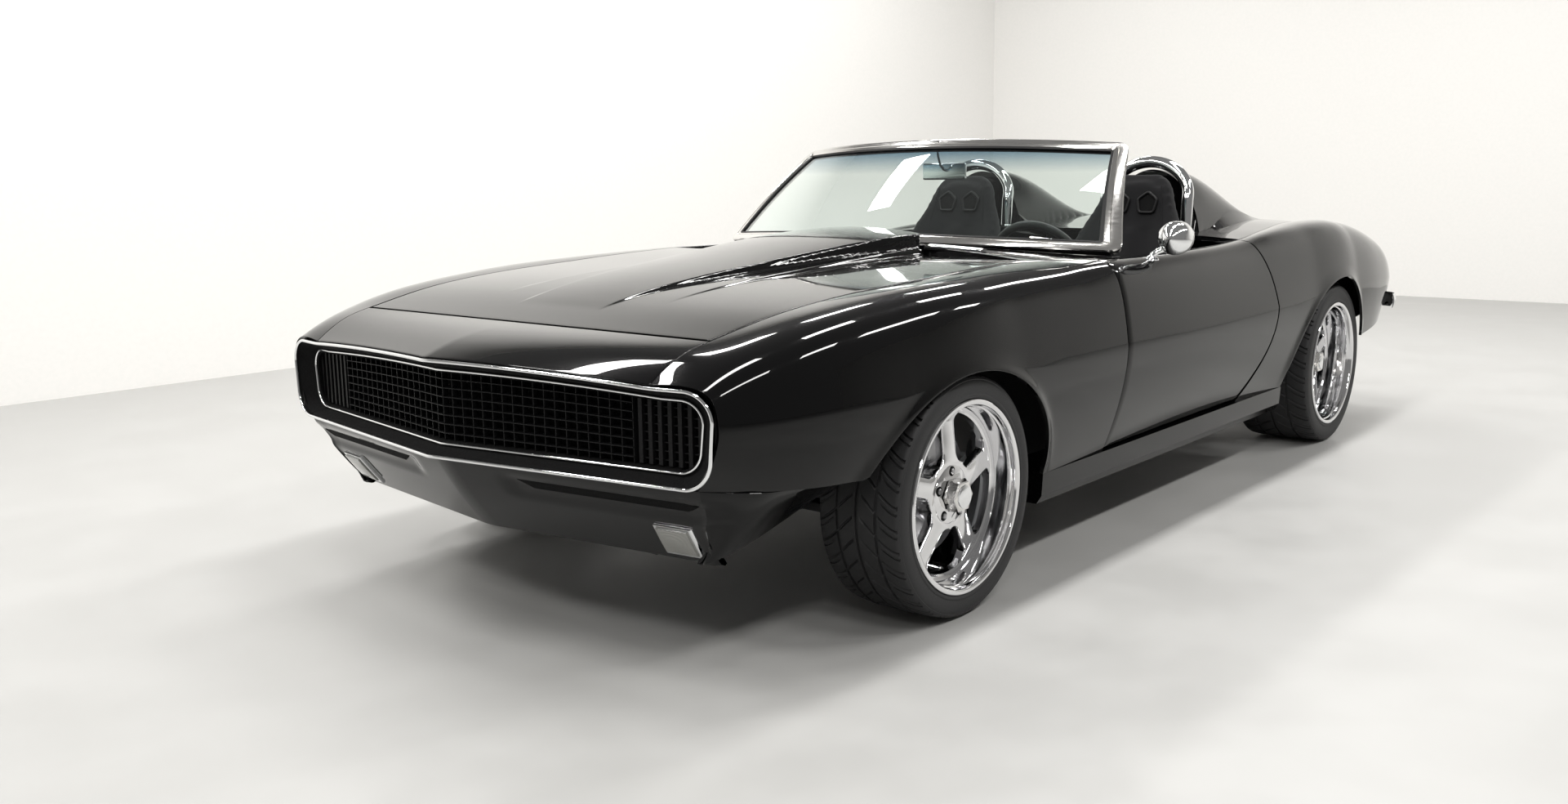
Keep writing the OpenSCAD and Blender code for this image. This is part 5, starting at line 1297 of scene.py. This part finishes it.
seam_at = 0.62
for which, flip in (("left", False), ("right", True)):
    for k, y in enumerate((-56, 56)):
        corners = [(y, 1022), (y + 39, 994), (y + 29, 946), (y - 29, 946), (y - 39, 994)]
        rim = smooth_path([on_back(a, b, 9) for a, b in corners], 12)
        swept(f"harness_rim_{which}_{k}", rim, round_section(6, 7, 12), black_plastic, "body", (),
              True, (1, 0, 0), flip)
        # a dull black plug inside the rim stands in for the shade in the opening: painted shade
        inner = np.array([on_back(blend(y, a, 0.86), blend(990, b, 0.86), 9.5) for a, b in corners])
        faces = [(0, 1, 2, 3, 4), (9, 8, 7, 6, 5)]
        faces += [(i, 5 + i, 5 + (i + 1) % 5, (i + 1) % 5) for i in range(5)]
        mesh_piece(f"harness_slot_shade_{which}_{k}", np.concatenate([inner, inner - (9, 0, 0)]), faces,
                   dull_black, "body", (), flip)
    for k, turn in enumerate((-1, 1)):
        seam = np.array([on_back(turn * float(back_half(z)) * (seam_at + max(z - 860, 0) / 230 * 0.2), z, 7)
                         for z in np.linspace(430, 1040, 40)])
        swept(f"seat_piping_{which}_{k}", seam, round_section(2.6, 2.6, 8), suede, "body", (),
              False, (1, 0, 0), flip)
        run = np.linspace(-440, 96, 36)
        seam = np.array([(x, seat_y + turn * seam_at * float(base_half(x)),
                          float(base_top(x)) + base_wing(x) * seam_at ** 3.4 + 7) for x in run])
        swept(f"cushion_piping_{which}_{k}", seam, round_section(2.6, 2.6, 8), suede, "body", (),
              False, (0, 0, 1), flip)
    for k, y in enumerate((seat_y - 190, seat_y + 150)):
        smooth_block(f"seat_runner_{which}_{k}", (-430, 70, y, y + 40, 221, 262), iron, "body",
                     (), 3, flip)

# ---- Dashboard ----
# A padded black dash with a hooded cluster of round gauges in front of the driver, a
# centre panel and a glove box.
vinyl = grain(finish_of("black_vinyl", (0.013, 0.013, 0.014), 0.55), 420, 0.0004, kind="VORONOI",
              rough=(0.45, 0.65))
dial_face = grain(finish_of("dial_face", (0.02, 0.02, 0.022), 0.35, Coat_Weight=0.8), 900, 0.00002,
                  rough=(0.3, 0.4))
satin = grain(finish_of("satin_aluminium", (0.62, 0.62, 0.63), 0.32, 1.0), 60, 0.00005, stretch=(1, 30, 1),
              rough=(0.26, 0.4))
dash_corners = [(598, 565), (598, 824), (470, 825), (372, 824), (332, 812), (296, 782), (300, 700),
                (340, 660), (380, 645), (420, 600)]
section = smooth_path([(a, 0, b) for a, b in dash_corners], 6)[:, [0, 2]]
rings = []
for y in np.linspace(-684, 684, 40):
    hood = 12 * math.exp(-((y - 370) / 150) ** 4) + 3 * math.exp(-((y + 390) / 190) ** 4)
    rings.append([(x - hood * ease((z - 700) / 90) * ease((420 - x) / 60), y, z) for x, z in section])
loft("dash_pad", rings, vinyl, "body", ["dashboard"])
for k, (y, z,
        r) in enumerate(((440, 748, 48), (300, 748, 48), (370, 742, 30), (56, 742, 26), (-8, 742, 26))):
    turned(f"gauge_bezel_{k}",
           [(r + 5, 4), (r + 4, 9), (r, 10), (r - 2, 6), (r - 2, 0), (r + 5, 0), (r + 5, 4)], (293, y, z),
           satin, "body", "chrome", (), (-0.96, 0, 0.28), 48)
    turned(f"gauge_face_{k}", [(0, 3), (r - 2, 3), (r - 2, 0), (0, 0)], (293, y, z), dial_face, "body",
           "suede", (), (-0.96, 0, 0.28), 40)
    turned(f"gauge_pin_{k}", [(0, 7), (3, 6.5), (4, 3), (0, 3)], (293, y, z), satin, "body", "chrome", (),
           (-0.96, 0, 0.28), 20)
for k, (y0, y1, z0,
        z1) in enumerate(((-90, 100, 672, 706), (-560, -250, 690, 770), (590, 660, 736, 770),
                          (-660, -590, 736, 770))):
    smooth_block(f"dash_panel_{k}", (292 if k else 306, 312, y0, y1, z0, z1), satin if k == 0 else vinyl,
                 "body", (), 4)

# ---- Steering wheel ----
# A three-spoke wheel with a leather rim on polished spokes, and a plain hub button.
leather = grain(finish_of("black_leather", (0.016, 0.015, 0.015), 0.5), 700, 0.0003, kind="VORONOI",
                rough=(0.42, 0.6))
lean = math.radians(24)
to_driver = (-math.cos(lean), 0, math.sin(lean))
hub_at = Vector((118, 370, 770))
ring = [(172 + 14 * math.cos(a), 13 * math.sin(a)) for a in np.linspace(0, 2 * np.pi, 21)]
turned("wheel_rim_leather", ring, hub_at, leather, "steering_wheel", "suede", ["steering_wheel"], to_driver,
       96, smooth_to=60)
turned("wheel_hub", [(0, 14), (20, 13), (31, 9), (34, 2), (36, -8), (34, -36), (0, -36)], hub_at, leather,
       "steering_wheel", "suede", (),
       to_driver, 48)
turned("wheel_button", [(0, 18), (14, 17.5), (19, 15), (20, 12), (0, 12)], hub_at, satin, "steering_wheel",
       "chrome", (), to_driver, 40)
upright = Vector((math.sin(lean), 0, math.cos(lean)))
sideways = Vector((0, 1, 0))
for k, a in enumerate((-90, 30, 150)):
    out = upright * math.sin(math.radians(a)) + sideways * math.cos(math.radians(a))
    across = Vector(to_driver).cross(out)
    points, faces = [], []
    for r, w in ((28, 19), (60, 15), (100, 13), (140, 15), (164, 20)):
        for t, h in ((-1, 1.5), (-0.7, 4), (0.7, 4), (1, 1.5), (1, -2), (-1, -2)):
            points.append(hub_at + out * r + across * (w * t) + Vector(to_driver)
                          * (h - 4 + 4 * (r - 28) / 136))
    for i in range(4):
        faces += [(i * 6 + j, i * 6 + (j + 1) % 6, (i + 1) * 6 + (j + 1) % 6, (i + 1) * 6 + j)
                  for j in range(6)]
    faces += [tuple(range(5, -1, -1)), tuple(range(24, 30))]
    mesh_piece(f"wheel_spoke_{k}", [tuple(p) for p in points], faces, satin, "steering_wheel",
               smooth_to=30, weighted=False)

# ---- Console, carpets and door trims ----
# The console covers the gearbox tunnel and carries the gear lever. The floor is laid with
# black carpet, and each door has a stitched vinyl panel with an arm rest.
carpet = grain(finish_of("black_carpet", (0.012, 0.012, 0.013), 1.0, Sheen_Weight=0.2), 800, 0.002,
               detail=5.0,
               tint=((0.007, 0.007, 0.008), (0.022, 0.022, 0.024)))
console_side = smooth_path([(x, 0, z) for x,
                            z in ((-478, 431), (398, 431), (398, 515), (332, 534), (150, 486), (-60, 494),
                                  (-478, 516))], 5)
rings = [[(x, y, 431 + (z - 431) * top) for x, _, z in console_side] for y, top in
         ((-99, 0.86), (-96, 0.94), (-88, 0.99), (-60, 1), (0, 0.985), (60, 1), (88, 0.99), (96, 0.94),
          (99, 0.86))]
loft("console_cover", rings, vinyl, "body", ["console"])
gaiter = [(46, 0), (44, 12), (33, 22), (30, 26), (21, 36), (18, 40), (10, 52), (8, 54), (0, 54)]
turned("lever_gaiter", gaiter, (140, 0, 484), leather, "body", "suede", (), (-0.1, 0, 1), 40, smooth_to=20)
swept("gear_lever", [(136, 0, 525), (133, 0, 550), (126, 0, 580), (114, 0, 612)], round_section(6, 6, 14),
      chrome, "body",
      up=(0, 1, 0))
turned("lever_knob", [(0, 46), (12, 44), (20, 36), (22, 26), (18, 12), (11, 2), (9, 0), (0, 0)],
       (116, 0, 606), chrome, "body", "chrome",
       (), (-0.3, 0, 1), 36, smooth_to=60)
for which, flip in (("left", False), ("right", True)):
    smooth_block(f"floor_carpet_{which}", (-895, 594, 136, 689, 220.5, 228), carpet, "body", (), 3,
                 flip)
    smooth_block(f"kick_carpet_{which}", (-894, -886, 136, 689, 226, 478), carpet, "body", (), 3,
                 flip)
    smooth_block(f"door_trim_{which}", (-500, 484, 767, 779, 330, 800), vinyl, f"door_{which}", (),
                 5, flip)
    smooth_block(f"arm_rest_{which}", (-300, 260, 722, 770, 560, 606), vinyl, f"door_{which}", (),
                 16, flip)
    turned(f"door_pull_{which}", [(0, 16), (9, 15), (13, 11), (13, 0), (0, 0)],
           (330, 767, 700) if not flip else (330, -767, 700),
           chrome, f"door_{which}", "chrome", (), (0, -1 if not flip else 1, 0), 32)
    for k, z in enumerate((430, 520, 640, 720)):
        y = 766.5 * (1 if not flip else -1)
        swept(f"trim_stitch_{which}_{k}", [(x, y, z) for x in np.linspace(-480, 464, 30)],
              round_section(1.6, 1.6, 6), leather,
              f"door_{which}", up=(0, 0, 1))
swept("tunnel_carpet_left", [(x, 137.5, 330) for x in np.linspace(-890, 596, 12)],
      [(-2.5, -96), (-2.5, 96), (2, 98), (2, -98)], carpet,
      "body")
swept("tunnel_carpet_right", [(x, -137.5, 330) for x in np.linspace(-890, 596, 12)],
      [(-2, -98), (-2, 98), (2.5, 96), (2.5, -96)],
      carpet, "body")

# ---- Engine bay ----
# A V8 with finned valve covers, a round air cleaner under the scoop, a radiator with its
# hoses, and a battery.
cast_iron = grain(finish_of("cast_block", (0.16, 0.16, 0.165), 0.55, 0.6), 160, 0.0006, rough=(0.45, 0.7))
hose_rubber = grain(finish_of("hose_rubber", (0.015, 0.015, 0.015), 0.6), 300, 0.0003, rough=(0.5, 0.7))
for which, turn in (("left", 1), ("right", -1)):
    rings = []
    for x in np.linspace(800, 1400, 20):
        soft = 1 - 0.25 * (abs(x - 1100) / 300) ** 10
        rings.append([(x, turn * (196 + 62 * soft * math.cos(a) * (1 if abs(math.cos(a)) < 0.7 else 0.94)),
                       706 + 34 * soft * math.sin(a) - 0.32 * 62 * math.cos(a))
                      for a in np.linspace(0, 2 * np.pi, 24, endpoint=False)])
    loft(f"valve_cover_{which}", rings, alloy, "body")
    for k in range(7):
        y = 168 + 10 * k
        z = 742 - 0.32 * (y - 196)
        smooth_block(f"cover_fin_{which}_{k}",
                     (850, 1350, turn * y - 1.5 if turn > 0 else -y - 1.5,
                      turn * y + 1.5 if turn > 0 else -y + 1.5,
                                                z - 8, z + 2), alloy, "body", (), 1)
    swept(f"exhaust_header_{which}",
          [(900 + 130 * k / 3, turn * (252 + 18 * math.sin(k)), 600 - 60 * k)
           for k in np.linspace(0, 3, 12)],
          round_section(24, 24, 16), stainless, "body")
turned("air_cleaner",
       [(0, 44), (60, 43), (150, 38), (176, 30), (178, 26), (172, 24), (172, -14), (178, -16), (176, -22),
        (60, -26), (0, -26)],
       (1100, 0, 758), chrome, "body", "chrome", (), (0, 0, 1), 96)
smooth_block("intake_manifold", (900, 1300, -110, 110, 696, 734), alloy, "body", (), 12)
smooth_block("radiator_core", (1890, 1940, -330, 330, 300, 640), cast_iron, "body", (), 6)
bars("radiator_fins", [(1941, 1944, -318 + 12 * k, -314 + 12 * k, 318, 622) for k in range(53)], satin,
     "body")
swept("top_hose",
      [(1890, 200, 610), (1840, 200, 616), (1740, 160, 640), (1600, 90, 680), (1500, 60, 700),
       (1436, 50, 690)], round_section(20, 20, 18),
      hose_rubber, "body")
swept("lower_hose",
      [(1890, -240, 330), (1820, -240, 330), (1700, -200, 350), (1560, -150, 400), (1436, -120, 440)],
      round_section(20, 20, 18),
      hose_rubber, "body")
turned("engine_fan", [(0, 8), (40, 8), (60, 5), (160, 5), (160, -5), (60, -5), (40, -12), (0, -12)],
       (1500, 0, 520), black_plastic, "body",
       "engine_metal", (), (1, 0, 0), 48)
smooth_block("battery", (1640, 1830, -520, -380, 470, 640), black_plastic, "body", (), 8)

# ---- Underside and hidden sheet metal ----
# Parts that stay as the solids give them: the floor, rails, axle, tank and exhaust, in
# chassis paint, bare steel or cast iron.
chassis = grain(finish_of("chassis_paint", (0.018, 0.018, 0.019), 0.55), 220, 0.0004, rough=(0.45, 0.7),
                tint=((0.014, 0.014, 0.015), (0.026, 0.026, 0.027)))
steel_pipe = grain(finish_of("exhaust_steel", (0.5, 0.48, 0.45), 0.3, 1.0), 60, 0.0001, rough=(0.22, 0.42))
kept = {"floor_pan": chassis, "rear_floor": chassis, "sills": paint, "firewall": chassis,
        "front_subframe": chassis,
        "wheel_houses": dull_black, "engine": cast_iron, "steering_column": vinyl, "rear_axle": cast_iron,
        "exhaust": steel_pipe, "fuel_tank": chassis, "drive_shaft": iron, "knuckle_left": cast_iron,
        "knuckle_right": cast_iron}
for node, made in kept.items():
    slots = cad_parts[node].data.materials
    for k in range(len(slots)):
        slots[k] = made
    if not len(slots):
        slots.append(made)
